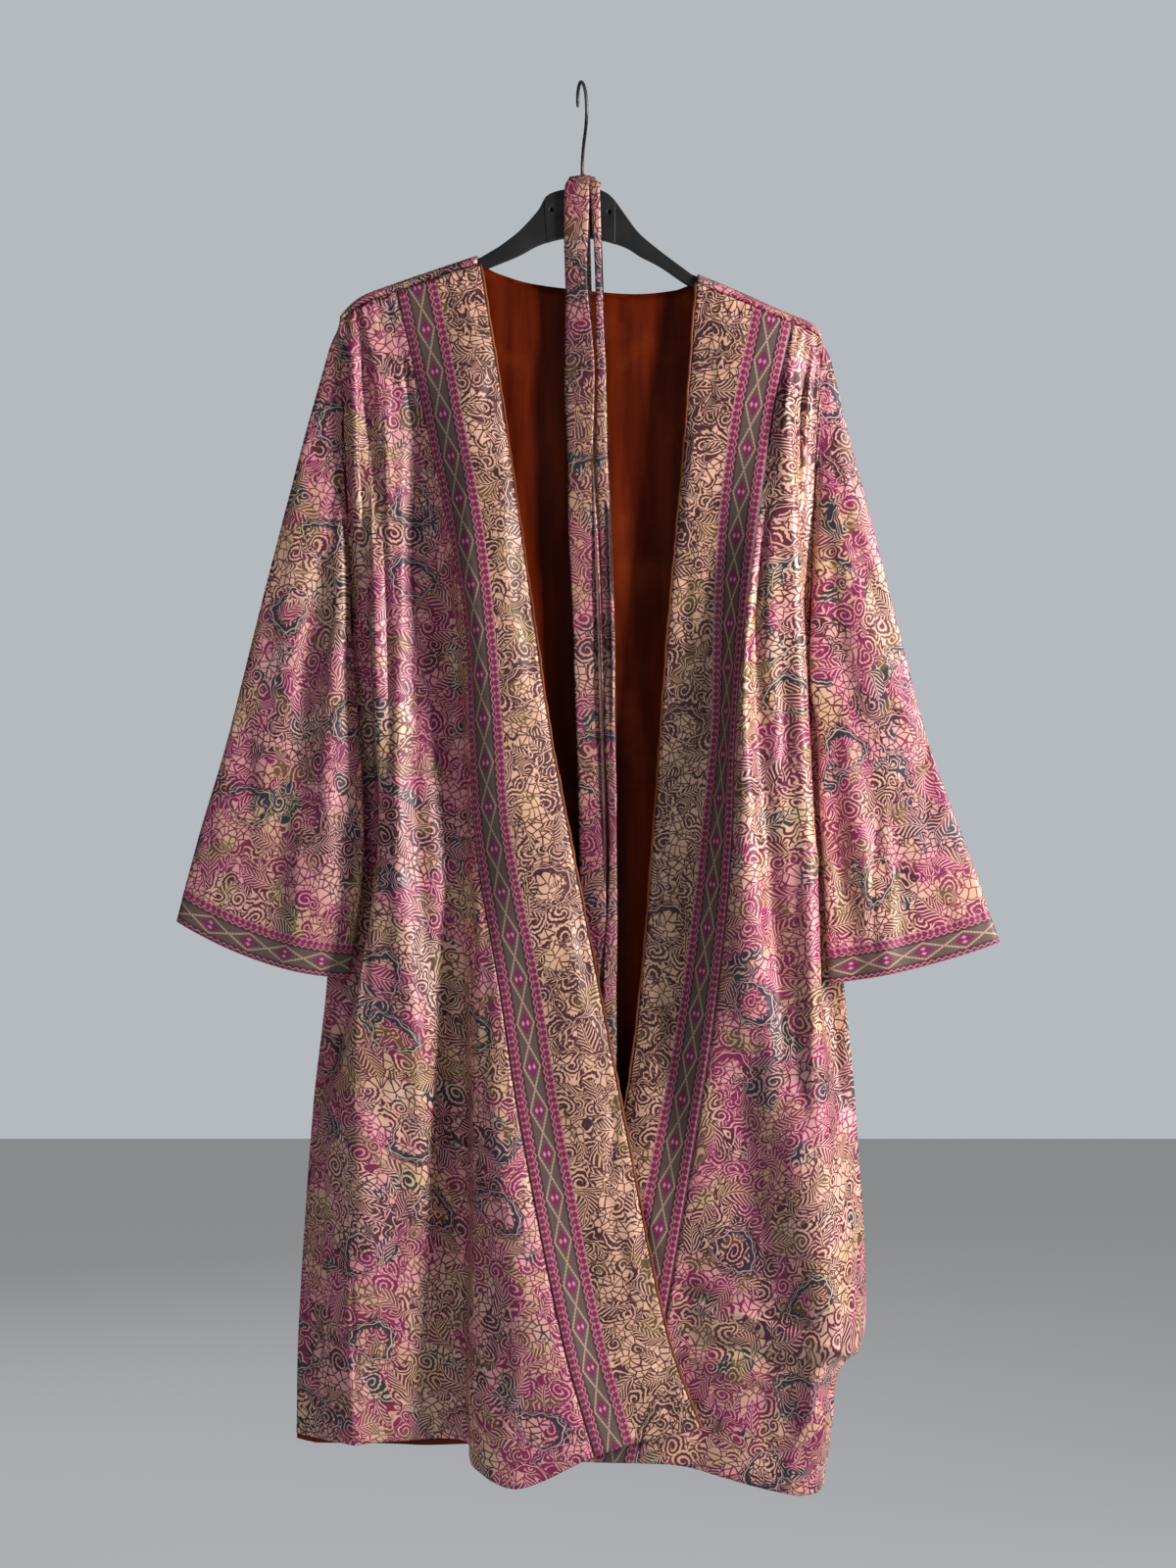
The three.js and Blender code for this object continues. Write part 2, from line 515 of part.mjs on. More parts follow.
function hangerPlate() {
  const outline = hangerOutline();
  PLATE_HOLES.forEach(({ x, drop }) => {
    const rim = polygon(PLATE_HOLE_RADIUS, 10).getPoints();
    outline.holes.push(new THREE.Path(rim.map((p) => new THREE.Vector2(p.x + x, p.y - drop))));
  });
  const plate = new THREE.ExtrudeGeometry(outline, {
    depth: ARM_DEPTH - 2 * HANGER_BEVEL, bevelSize: HANGER_BEVEL, bevelOffset: -HANGER_BEVEL,
    bevelThickness: HANGER_BEVEL, bevelSegments: 1,
  });
  return plate.rotateX(Math.PI / 2).translate(0, ARM_DEPTH / 2 - HANGER_BEVEL, 0);
}

const BORE_SLACK = 0.35;           // air round the wire in its bore
const BORE_MOUTH = PLATE_TOP - 6;  // the cutter starts this high, clear of the plate

function hookBore() {
  const reach = HOOK_SEAT + BORE_SLACK - BORE_MOUTH;
  const radius = HOOK_WIRE / 2 + BORE_SLACK;
  const bore = new THREE.CylinderGeometry(radius, radius, reach, 12);
  return bore.rotateX(Math.PI / 2).translate(0, 0, -BORE_MOUTH - reach / 2);
}

// The stem: how far it leans out towards the bend, at each drop.
const HOOK_STEM = [[0, HOOK_SEAT], [0, 98], [0, 84], [1, 70], [5.5, 56], [13, 42], [18.5, 29]];
const HOOK_TIP_IN = 0.8;
const HOOK_TIP_FALL = 7;           // below the middle of the bend

function hook() {
  const bend = HOOK_RADIUS + HOOK_WIRE / 2;
  const arc = spread(9).map((f) => [
    bend * Math.cos(f * Math.PI), HOOK_RADIUS - bend * Math.sin(f * Math.PI)]);
  const route = [...HOOK_STEM, ...arc, [HOOK_TIP_IN - bend, HOOK_RADIUS + HOOK_TIP_FALL]];
  const places = route.map(([out, drop]) => new THREE.Vector3(0, out, -drop));
  const wire = new THREE.ExtrudeGeometry(polygon(HOOK_WIRE / 2, 8), {
    steps: 44, extrudePath: new THREE.CatmullRomCurve3(places, false, 'centripetal'),
  });
  return wire.rotateZ(-THREE.MathUtils.degToRad(HOOK_TURN));
}

// ---------- The belt ----------
// A strand is a flat ribbon; each row is a place along it from the loop to its end.
const BELT_THICKNESS = 2;
const BELT_LONG = [
  { drop: 90, x: -5, y: -7.3, width: 23 },
  { drop: 150, x: -4, y: -7.3, width: 23 },
  { drop: 240, x: -4.5, y: -6.5, width: 23 },
  { drop: 330, x: -3, y: -5, width: 20 },
  { drop: 420, x: 0.5, y: -3, width: 23 },
  { drop: 530, x: 3.5, y: -2, width: 22 },
  { drop: 620, x: 7.5, y: -1, width: 24 },
  { drop: 715, x: 9.5, y: 0, width: 23 },
  { drop: 850, x: 12, y: 0, width: 26 },
  { drop: 950, x: 12, y: 0, width: 28 },
];
const BELT_SHORT = [
  { drop: 90, x: 11, y: -7.3, width: 9 },
  { drop: 150, x: 13, y: -7.3, width: 8 },
  { drop: 240, x: 17, y: -6.5, width: 8.5 },
  { drop: 330, x: 19.5, y: -5, width: 9 },
  { drop: 420, x: 22, y: -3, width: 9.5 },
  { drop: 530, x: 25.5, y: -2, width: 8 },
  { drop: 640, x: 28, y: -2.5, width: 8 },
  { drop: 715, x: 28, y: -3, width: 7.5 },
  { drop: 800, x: 26, y: -3.2, width: 12 },
  { drop: 905, x: 25, y: -3.2, width: 14 },
];
const BELT_LOOP = { x: 1, halfX: 17.5, front: 8.6, back: 8, top: 84, foot: 96.6, shaftGap: 0.5 };
const BELT_FULLNESS = 1.4;   // how far a strand's middle stands before its edges
const BELT_STEPS = { long: 14, short: 13, across: 4 };
const LOOP_SIDES = 20;       // corners round the stem
const LOOP_ROUND = 8;        // corners round the loop's own section
const LOOP_SQUARENESS = 0.6; // 1 is an oval section, 0 a square one

function strand(rows, count) {
  const drops = rows.map((row) => row.drop);
  const column = (key, drop) => smooth(drops, rows.map((row) => row[key]), drop);
  return clothWall((u, v) => {
    const drop = mix(drops[0], drops[drops.length - 1], v);
    const across = (u - 0.5) * column('width', drop);
    const crown = BELT_FULLNESS * (1 - (2 * u - 1) ** 2);
    return new THREE.Vector3(column('x', drop) + across, column('y', drop) - crown, -drop);
  }, spread(BELT_STEPS.across), spread(count), { thickness: BELT_THICKNESS });
}

function beltLoop() {
  const { x, halfX, front, back, top, foot, shaftGap } = BELT_LOOP;
  const shaft = HOOK_WIRE / 2 + shaftGap;
  const height = (foot - top) / 2;
  const sides = LOOP_SIDES;
  const round = LOOP_ROUND;
  const corners = [];
  const faces = [];
  for (let i = 0; i < sides; i += 1) {
    const angle = (i / sides) * 2 * Math.PI;
    const near = new THREE.Vector2(shaft * Math.cos(angle), shaft * Math.sin(angle));
    const depth = Math.sin(angle) > 0 ? back : front;
    const far = new THREE.Vector2(x + halfX * Math.cos(angle), depth * Math.sin(angle));
    for (let j = 0; j < round; j += 1) {
      const turn = (j / round) * 2 * Math.PI;
      const place = near.clone().lerp(far, (1 + Math.cos(turn)) / 2);
      const rise = height * Math.sign(Math.sin(turn)) * Math.abs(Math.sin(turn)) ** LOOP_SQUARENESS;
      corners.push(new THREE.Vector3(place.x, place.y, -(top + foot) / 2 + rise));
      const a = i * round + j;
      const b = i * round + ((j + 1) % round);
      const c = ((i + 1) % sides) * round + ((j + 1) % round);
      const d = ((i + 1) % sides) * round + j;
      faces.push([a, d, c], [a, c, b]);
    }
  }
  return solid(corners, faces);
}

// ---------- Cuts and joins ----------
const wasm = await Module();
wasm.setup();

function toManifold(geometry) {
  const bare = geometry.clone();
  bare.deleteAttribute('normal');
  bare.deleteAttribute('uv');
  const merged = mergeVertices(bare, 1e-4);
  return new wasm.Manifold(new wasm.Mesh({
    numProp: 3,
    vertProperties: merged.attributes.position.array,
    triVerts: new Uint32Array(merged.index.array),
  }));
}

function fromManifold(body) {
  const { vertProperties, triVerts } = body.getMesh();
  const geometry = new THREE.BufferGeometry();
  geometry.setAttribute('position', new THREE.BufferAttribute(vertProperties, 3));
  geometry.setIndex(new THREE.BufferAttribute(triVerts, 1));
  return geometry;
}

const hangerBody = fromManifold(toManifold(hangerPlate()).subtract(toManifold(hookBore())));
const belt = fromManifold([strand(BELT_LONG, BELT_STEPS.long), strand(BELT_SHORT, BELT_STEPS.short)].reduce(
  (whole, part) => whole.add(toManifold(part)), toManifold(beltLoop())));

// ---------- The whole garment ----------
const jacket = new THREE.Group();
[
  ['hanger_body', hangerBody, PLASTIC_LOOK],
  ['hanger_hook', hook(), STEEL_LOOK],
  ['belt', belt, PRINT_LOOK],
  ['back_panel', backPanel, PRINT_LOOK],
  ['back_lining', backLining, LINING_LOOK],
  ['front_right', frontRight, PRINT_LOOK],
  ['front_left', frontLeft, PRINT_LOOK],
  ['front_band_right', bandRight, BAND_LOOK],
  ['front_band_left', bandLeft, BAND_LOOK],
  ['edge_roll_right', edgeRollRight, LINING_LOOK],
  ['edge_roll_left', edgeRollLeft, LINING_LOOK],
  ['sleeve_right', sleeveRight, PRINT_LOOK],
  ['sleeve_left', sleeveLeft, PRINT_LOOK],
].forEach(([name, geometry, look]) => {
  const mesh = new THREE.Mesh(geometry, new THREE.MeshStandardMaterial(look));
  mesh.name = name;
  jacket.add(mesh);
});

export default jacket;
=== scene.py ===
# %% [markdown]
# # A silk kimono jacket on its hanger
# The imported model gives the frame: every piece of the jacket as a plain wall of cloth, and
# the hanger. Each cell below makes one piece again with fine folds, sewing and silk, in the
# same place and at the same size, and says which plain piece it stands for.

# %% The frame and its box
import math

import bmesh
import bpy
import numpy as np
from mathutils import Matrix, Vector


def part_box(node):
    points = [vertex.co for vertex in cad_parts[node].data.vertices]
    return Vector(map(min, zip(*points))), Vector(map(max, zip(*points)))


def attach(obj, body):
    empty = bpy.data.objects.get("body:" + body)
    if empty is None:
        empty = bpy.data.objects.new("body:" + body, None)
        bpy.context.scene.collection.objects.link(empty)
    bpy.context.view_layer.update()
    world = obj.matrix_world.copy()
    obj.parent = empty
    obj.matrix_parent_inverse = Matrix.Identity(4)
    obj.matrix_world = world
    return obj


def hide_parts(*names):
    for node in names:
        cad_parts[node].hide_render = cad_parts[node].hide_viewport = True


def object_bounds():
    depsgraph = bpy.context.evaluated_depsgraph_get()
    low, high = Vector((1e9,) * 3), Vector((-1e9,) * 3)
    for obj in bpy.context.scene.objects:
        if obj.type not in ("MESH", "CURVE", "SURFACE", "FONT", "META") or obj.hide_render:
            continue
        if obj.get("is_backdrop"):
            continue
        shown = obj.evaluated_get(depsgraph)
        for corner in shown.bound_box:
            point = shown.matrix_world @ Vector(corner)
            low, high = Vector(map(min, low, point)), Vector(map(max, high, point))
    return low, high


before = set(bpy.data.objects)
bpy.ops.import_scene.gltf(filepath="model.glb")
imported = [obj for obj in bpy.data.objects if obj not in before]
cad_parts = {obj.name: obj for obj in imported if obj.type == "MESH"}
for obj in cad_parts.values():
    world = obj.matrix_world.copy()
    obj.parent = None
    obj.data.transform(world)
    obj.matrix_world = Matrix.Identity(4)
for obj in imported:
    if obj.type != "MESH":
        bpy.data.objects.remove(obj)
CAD_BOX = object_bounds()
MM = 0.001
print("packed nodes:", sorted(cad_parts))

# %% [markdown]
# ## Camera, light and floor
# A hanging garment is seen square on, from far enough away that its sides stay parallel.
# A tall narrow lamp at the right makes the satin shine along the folds, a weaker one from
# the left keeps the shadows open, a third lights the back, and a pale world fills the rest.

# %% Camera, light and floor
LOOK_AT = Vector((0.0054, 0, -0.6426))
CAMERA_DISTANCE = 3.0
LONG_SIDE = 1.44                 # height of the picture in the plane of the jacket
ROOM_LIGHT, ROOM_SEEN = 0.15, 1.0        # the room's strength as a light, and as a backdrop
# Each lamp: its name, its place, its width and height in metres, its watts and its tint.
LAMPS = [
    ("key", (1.54, -0.78, -0.20), 0.24, 1.1, 47, (1.0, 0.94, 0.90)),
    ("fill", (-1.4, -3.2, 0.1), 1.3, 1.3, 9, (1.0, 0.97, 0.95)),
    ("back", (-1.2, 2.4, 0.6), 1.5, 1.5, 25, (0.97, 0.98, 1.0)),
]


def add_camera():
    data = bpy.data.cameras.new("camera")
    data.sensor_width = 36
    data.lens = data.sensor_width * CAMERA_DISTANCE / LONG_SIDE
    camera = bpy.data.objects.new("camera", data)
    camera.location = LOOK_AT + Vector((0, -CAMERA_DISTANCE, 0))
    camera.rotation_euler = (math.pi / 2, 0, 0)
    bpy.context.collection.objects.link(camera)
    bpy.context.scene.camera = camera


def add_lamp(name, place, width, height, watts, tint):
    data = bpy.data.lights.new(name, "AREA")
    data.shape = "RECTANGLE"
    data.size, data.size_y = width, height
    data.energy = watts
    data.color = tint
    lamp = bpy.data.objects.new(name, data)
    lamp.location = place
    lamp.rotation_euler = (LOOK_AT - Vector(place)).to_track_quat("-Z", "Y").to_euler()
    bpy.context.collection.objects.link(lamp)


add_camera()
for lamp in LAMPS:
    add_lamp(*lamp)


def pale_world():
    """A pale room: dim as a light, brighter where the camera looks past the jacket."""
    world = bpy.data.worlds.new("pale_studio")
    world.use_nodes = True
    tree = world.node_tree
    ground = tree.nodes["Background"]
    ground.inputs["Color"].default_value = (0.46, 0.49, 0.52, 1)
    looked_at = tree.nodes.new("ShaderNodeLightPath").outputs["Is Camera Ray"]
    strength = tree.nodes.new("ShaderNodeMapRange")
    tree.links.new(looked_at, strength.inputs["Value"])
    strength.inputs["To Min"].default_value = ROOM_LIGHT
    strength.inputs["To Max"].default_value = ROOM_SEEN
    tree.links.new(strength.outputs["Result"], ground.inputs["Strength"])
    bpy.context.scene.world = world


pale_world()
bpy.context.scene.view_settings.view_transform = "Standard"


# %% [markdown]
# ## Writing materials as sums
# A woven pattern is arithmetic on a place in the cloth. `Wire` wraps one socket so that
# `a * 2 + b` adds the Math nodes for it, and `Finish.node` makes every other node.

# %% Wires and finishes
class Wire:
    """One socket of a material, on which sums are written as on a number."""

    def __init__(self, finish, socket):
        self.finish, self.socket = finish, socket

    def math(self, operation, other=None):
        return self.finish.math(operation, self, other)

    def __add__(self, other):
        return self.finish.math("ADD", self, other)

    def __sub__(self, other):
        return self.finish.math("SUBTRACT", self, other)

    def __rsub__(self, other):
        return self.finish.math("SUBTRACT", other, self)

    def __mul__(self, other):
        return self.finish.math("MULTIPLY", self, other)

    def __truediv__(self, other):
        return self.finish.math("DIVIDE", self, other)

    def __abs__(self):
        return self.finish.math("ABSOLUTE", self)

    __radd__ = __add__
    __rmul__ = __mul__


class Finish:
    """A material under construction: a Principled shader and the nodes that feed it."""

    def __init__(self, name, **constants):
        self.material = bpy.data.materials.new(name)
        self.material.use_nodes = True
        self.tree = self.material.node_tree
        self.shader = self.tree.nodes["Principled BSDF"]
        for socket, value in constants.items():
            self.shader.inputs[socket.replace("_", " ")].default_value = value

    def node(self, kind, settings, values, output=0):
        made = self.tree.nodes.new(kind)
        for key, value in settings.items():
            setattr(made, key, value)
        for socket, value in values.items():
            self.plug(made.inputs[socket], value)
        return Wire(self, made.outputs[output])

    def plug(self, socket, value):
        if isinstance(value, Wire):
            self.tree.links.new(value.socket, socket)
        else:
            socket.default_value = value

    def math(self, operation, first, second=None):
        values = {0: first} if second is None else {0: first, 1: second}
        return self.node("ShaderNodeMath", {"operation": operation}, values)

    def blend(self, share, under, over, way="MIX"):
        settings = {"data_type": "RGBA", "blend_type": way, "clamp_factor": True}
        return self.node("ShaderNodeMix", settings, {0: share, 6: under, 7: over}, 2)

    def vector(self, operation, first, second=None, scale=None):
        values = {0: first}
        if second is not None:
            values[1] = second
        if scale is not None:
            values[3] = scale
        return self.node("ShaderNodeVectorMath", {"operation": operation}, values)

    def split(self, vector):
        made = self.tree.nodes.new("ShaderNodeSeparateXYZ")
        self.plug(made.inputs[0], vector)
        return [Wire(self, made.outputs[k]) for k in range(3)]

    def noise(self, place, cell, detail=1.0, output=0):
        values = {"Vector": place, "Scale": 1 / cell, "Detail": detail}
        return self.node("ShaderNodeTexNoise", {"noise_dimensions": "2D"}, values, output)

    def finish(self, **sockets):
        for socket, value in sockets.items():
            self.plug(self.shader.inputs[socket.replace("_", " ")], value)
        return self.material

    def bump(self, height, strength, distance):
        values = {"Height": height, "Strength": strength, "Distance": distance}
        return self.node("ShaderNodeBump", {}, values)


def paint(red, green, blue):
    """A colour as the eye gives it, from 0 to 1, made linear for a socket."""
    return tuple(c / 12.92 if c <= 0.04045 else ((c + 0.055) / 1.055) ** 2.4
                 for c in (red, green, blue)) + (1,)


def step(value, edge, soft):
    """0 below the edge and 1 above it, over a soft width."""
    return ((value - edge) * (1 / soft) + 0.5).math("MINIMUM", 1.0).math("MAXIMUM", 0.0)


def line(value, half, soft):
    """1 where a value is within half a width of 0."""
    return 1 - step(abs(value), half, soft)


def union(first, *others):
    for other in others:
        first = first.math("MAXIMUM", other)
    return first


# %% [markdown]
# ## The jaal
# The silk is covered in a jaal: a net of scrolls, feathered leaves and drops, in wine, with
# teal and olive in places. It is built from a few simple things in millimetres of cloth:
# cells scattered by Voronoi noise, a spiral or a drop in each, a net of little asterisks
# between them, and contour lines of soft noise, which flow round it all as feathers do.

# %% The parts of the jaal
WHOLE_TURN = 6.28                # in radians, near enough for a turn taken at random


def cells(f, place, size, loose=0.75):
    """The place seen from the middle of its cell, its distance, angle and two random shares."""
    made = f.tree.nodes.new("ShaderNodeTexVoronoi")
    made.voronoi_dimensions = "2D"
    for socket, value in {"Vector": place, "Scale": 1 / size, "Randomness": loose}.items():
        f.plug(made.inputs[socket], value)
    offset = f.vector("SUBTRACT", place, Wire(f, made.outputs["Position"]))
    x, y, _ = f.split(offset)
    first, second, _ = f.split(Wire(f, made.outputs["Color"]))
    distance = (x * x + y * y).math("SQRT")
    return x, y, distance, y.math("ARCTAN2", x), first, second


def scroll(f, place, size, pitch, dense):
    """Spirals, one to a cell, that wind one way or the other and swell towards the eye."""
    _, _, distance, angle, first, second = cells(f, place, size)
    hand = step(first, 0.5, 0.01) * 2 - 1
    turn = (distance / pitch + hand * angle / (2 * math.pi) + second).math("FRACT")
    lobes = (angle * 5 + second * 9).math("SINE") * (size * 0.035)
    reach = 1 - step(distance + lobes, size * 0.36 + first * 2, 0.6)
    eye = 1 - step(distance, pitch * 0.42, 0.5)
    barb = (angle * 13 + distance * 1.4).math("SINE") * 0.07
    return union(line(turn - 0.5, dense * 0.08 + 0.27 + barb, 0.10), eye) * reach, reach


def leaves(f, place, size):
    """Bent pointed leaves, one to a cell, with a vein, slanted barbs and an outline."""
    x, y, _, _, first, second = cells(f, place, size, 0.6)
    turn = second * WHOLE_TURN
    along = x * turn.math("SINE") + y * turn.math("COSINE")
    hand = first * 2 - 1
    sideways = x * turn.math("COSINE") - y * turn.math("SINE")
    bent = abs(sideways + along * along * hand * (1.4 / size))
    wide = (1 - along * along * (4.6 / size ** 2)) * (size * 0.24)
    inside = step(wide - bent, 0.0, 0.4)
    slanted = ((along - bent * 1.1) / 4.2).math("FRACT") - 0.5
    barbs = line(slanted, 0.31, 0.12) * step(bent, 1.1, 0.4)
    vein = line(bent, 0.5, 0.3)
    edge = line(wide - bent, 0.75, 0.4) * step(wide, 0.0, 1.0)
    return union(barbs * inside, vein * inside, edge), inside


def star_net(f, place, size):
    """A net whose cells each hold an asterisk of fine lines."""
    _, _, distance, angle, _, second = cells(f, place, size, 0.9)
    spoke = (angle * 2.5 + second * WHOLE_TURN).math("SINE") * distance * 0.4
    values = {"Vector": place, "Scale": 1 / size, "Randomness": 0.9}
    settings = {"voronoi_dimensions": "2D", "feature": "DISTANCE_TO_EDGE"}
    edge = f.node("ShaderNodeTexVoronoi", settings, values) * size
    return union(line(spoke, 0.58, 0.4), line(edge, 0.55, 0.4))


def feathers(f, place, size, pitch, dense):
    """Contour lines of soft noise, close together, like the barbs of feathers."""
    x, y, _ = f.split(place)
    height = (f.noise(place, size, 1.5) * (size * 2.1) + x * 0.35 + y * 0.25) * (1 / pitch)
    swell = f.noise(place, 9.0, 0.5) * 0.26
    return line(height.math("FRACT") - 0.5, dense * 0.09 + 0.14 + swell, 0.12)


def drops(f, place, size):
    """Bent drops, one to a cell: a dark ring with a pale vine of scrolls in it."""
    x, y, _, _, first, second = cells(f, place, size, 0.65)
    turn = second * WHOLE_TURN
    across_way = x * turn.math("COSINE") - y * turn.math("SINE")
    along_way = x * turn.math("SINE") + y * turn.math("COSINE")
    bent = across_way + along_way * along_way * (0.55 / size)
    narrow = 1 + (along_way + size * 0.15).math("MAXIMUM", 0.0) * (1.9 / size)
    wide = bent * narrow
    reach = (wide * wide + along_way * along_way).math("SQRT") * (1 / size)
    angle = along_way.math("ARCTAN2", wide)
    leafy = (angle * 19).math("SINE") * 0.014
    swell = (angle + second * WHOLE_TURN).math("SINE") * 0.020
    ring = line(reach - 0.235 + leafy, 0.040 + swell, 0.008)
    vine = line(reach - 0.235 - (angle * 9).math("SINE") * 0.011, 0.006, 0.006)
    bead = line(reach - 0.262 - (angle * 23).math("SINE") * 0.010, 0.004, 0.005)
    rim = line(reach - 0.305 + leafy, 0.006, 0.006)
    return ring, union(vine, bead), rim, first


# %% [markdown]
# ## The printed silk
# The same jaal is used twice: wine, teal and olive on peach for the jacket, and brown on
# beige for the front bands. The threads of the pattern stand a little above the satin and
# are less glossy, so the lines also feed the roughness and the bump.

# %% The jaal as a finish
CLOTH_MAP = "cloth"
PEACH = paint(0.94, 0.745, 0.66)
PINK_PEACH = paint(0.93, 0.66, 0.66)
STRAW = paint(0.86, 0.74, 0.53)
WINE = paint(0.38, 0.01, 0.19)
MAGENTA = paint(0.52, 0.01, 0.32)
DARK_WINE = paint(0.24, 0.04, 0.10)
TEAL = paint(0.09, 0.15, 0.22)
OLIVE = paint(0.42, 0.33, 0.12)
BEIGE = paint(0.96, 0.77, 0.65)
BEIGE_SHADE = paint(0.89, 0.69, 0.58)
BROWN = paint(0.31, 0.07, 0.14)


def cloth_place(f, slide=(0, 0, 0)):
    """The place on the cloth in millimetres, with the pattern slid along it."""
    made = f.node("ShaderNodeUVMap", {"uv_map": CLOTH_MAP}, {})
    return f.vector("ADD", f.vector("SCALE", made, scale=1 / MM), slide)


def jaal(f, place):
    """The mask of all lines, the rings of the drops, which drop each is, and where it is dense."""
    wander = f.noise(place, 26, output=1)
    sway = f.vector("SCALE", f.vector("SUBTRACT", wander, (0.5, 0.5, 0.5)), scale=11.0)
    bent = f.vector("ADD", place, sway)
    ring, vine, rim, which = drops(f, bent, 84)
    dense = step(f.noise(place, 95, 1.0), 0.45, 0.08)
    zone = f.noise(place, 44, 0.5)
    lines = f.blend(step(zone, 0.465, 0.015), feathers(f, bent, 22, 4.0, dense),
                    star_net(f, bent, 12.5))
    for size, pitch, slide in ((19, 3.6, (0, 0, 0)), (30, 4.3, (51, 23, 0))):
        wound, inside = scroll(f, f.vector("ADD", bent, slide), size, pitch, dense)
        here = f.noise(f.vector("ADD", place, (77 + size, 31, 0)), 34, 0.0)
        lines = f.blend(inside * step(here, 0.51, 0.02), lines, wound)
    for size, slide in ((26, (13, 87, 0)), (40, (45, 9, 0))):
        leaf, inside = leaves(f, f.vector("ADD", bent, slide), size)
        here = f.noise(f.vector("ADD", place, (17 + size, 61, 0)), 38, 0.0)
        lines = f.blend(inside * step(here, 0.47, 0.02), lines, leaf)
    shown = step(which, 0.40, 0.01)
    lines = f.blend(ring * shown, lines, 1 - vine)
    return union(lines, rim * shown), ring * shown, which, dense


def satin_silk(name):
    """The silk under every print: a soft sheen, and no colour yet."""
    return Finish(name, Sheen_Weight=0.05, Sheen_Roughness=0.35, Specular_IOR_Level=0.7)


def thread_bump(f, place, lines):
    """The threads of the pattern stand up, and the satin under them has slubs."""
    slub = f.noise(f.vector("MULTIPLY", place, (0.25, 2.2, 1)), 2.0, 2.0)
    return f.bump(lines * 0.5 + slub * 0.5, 0.35, 0.0004)


def silk_look(f, place, colour, lines):
    """Joins colour, gloss and bump; the lines are less glossy than the ground."""
    rough = 0.37 + lines * 0.14 + f.noise(place, 60, 2.0) * 0.08
    return f.finish(Base_Color=colour, Roughness=rough, Normal=thread_bump(f, place, lines))


def jaal_colour(f, place):
    """The jaal's inks on peach, which turn from one to the next in patches, and its lines."""
    lines, ring, which, dense = jaal(f, place)
    second_place = f.vector("ADD", place, (310, 170, 0))
    second_patch = f.noise(second_place, 70, 1.0)
    ground = f.blend(dense, PEACH, PINK_PEACH)
    ground = f.blend(step(second_patch, 0.58, 0.12) * 0.6, ground, STRAW)
    ink = f.blend(dense, WINE, MAGENTA)
    ink = f.blend(step(second_patch, 0.42, 0.05), DARK_WINE, ink)
    ink = f.blend(step(f.noise(place, 40, 0.5), 0.665, 0.03), ink, TEAL)
    ink = f.blend(step(f.noise(second_place, 30, 0.5), 0.66, 0.04) * 0.7, ink, OLIVE)
    ink = f.blend(ring * step(which, 0.55, 0.01), ink, TEAL)
    return f.blend(lines, ground, ink), lines


def printed_silk(name, slide, darkening=(1, 1, 1, 1)):
    """Silk with the jaal slid along it; a flat factor darkens ground and ink alike."""
    f = satin_silk(name)
    place = cloth_place(f, slide)
    colour, lines = jaal_colour(f, place)
    return silk_look(f, place, f.blend(1.0, colour, darkening, "MULTIPLY"), lines)


# %% [markdown]
# ## The woven border
# A border runs along the outer edge of each front band and round each cuff: a row of wine
# beads, a pale cord, a taupe field crossed by two ropes that meet in a lattice, a little
# diamond in each opening, and another cord and row of beads. It is drawn from two numbers:
# how far a thread lies from the edge, and how far along.

# %% The border as a finish
BORDER = {"seam": 1.4, "beads": 4.2, "cord": 8.6, "field": 19.3, "field_half": 8.6,
          "cord_in": 30.0, "beads_in": 34.2, "end": 37.5}
BEAD_PITCH, BEAD_RADIUS, BEAD_EDGE = 6.2, 2.5, 3.2
CORD_PITCH, CORD_HALF, CORD_SWING = 7.0, 1.6, 0.8
ROPE_PITCH, ROPE_HALF, ROPE_SWING = 40.0, 0.85, 7.6
GEM_HALF_WIDE, GEM_HALF_LONG = 5.6, 10.5
CUFF_START = 6.0                 # the cuff's hem takes up this much of the border
PALE_PINK = paint(0.76, 0.50, 0.55)
TAUPE = paint(0.39, 0.31, 0.29)
ROPE = paint(0.77, 0.63, 0.55)
DEEP_LINE = paint(0.28, 0.12, 0.18)
BEAD = paint(0.53, 0.03, 0.30)
DIAMOND = paint(0.50, 0.09, 0.32)
DIAMOND_LIGHT = paint(0.85, 0.58, 0.70)


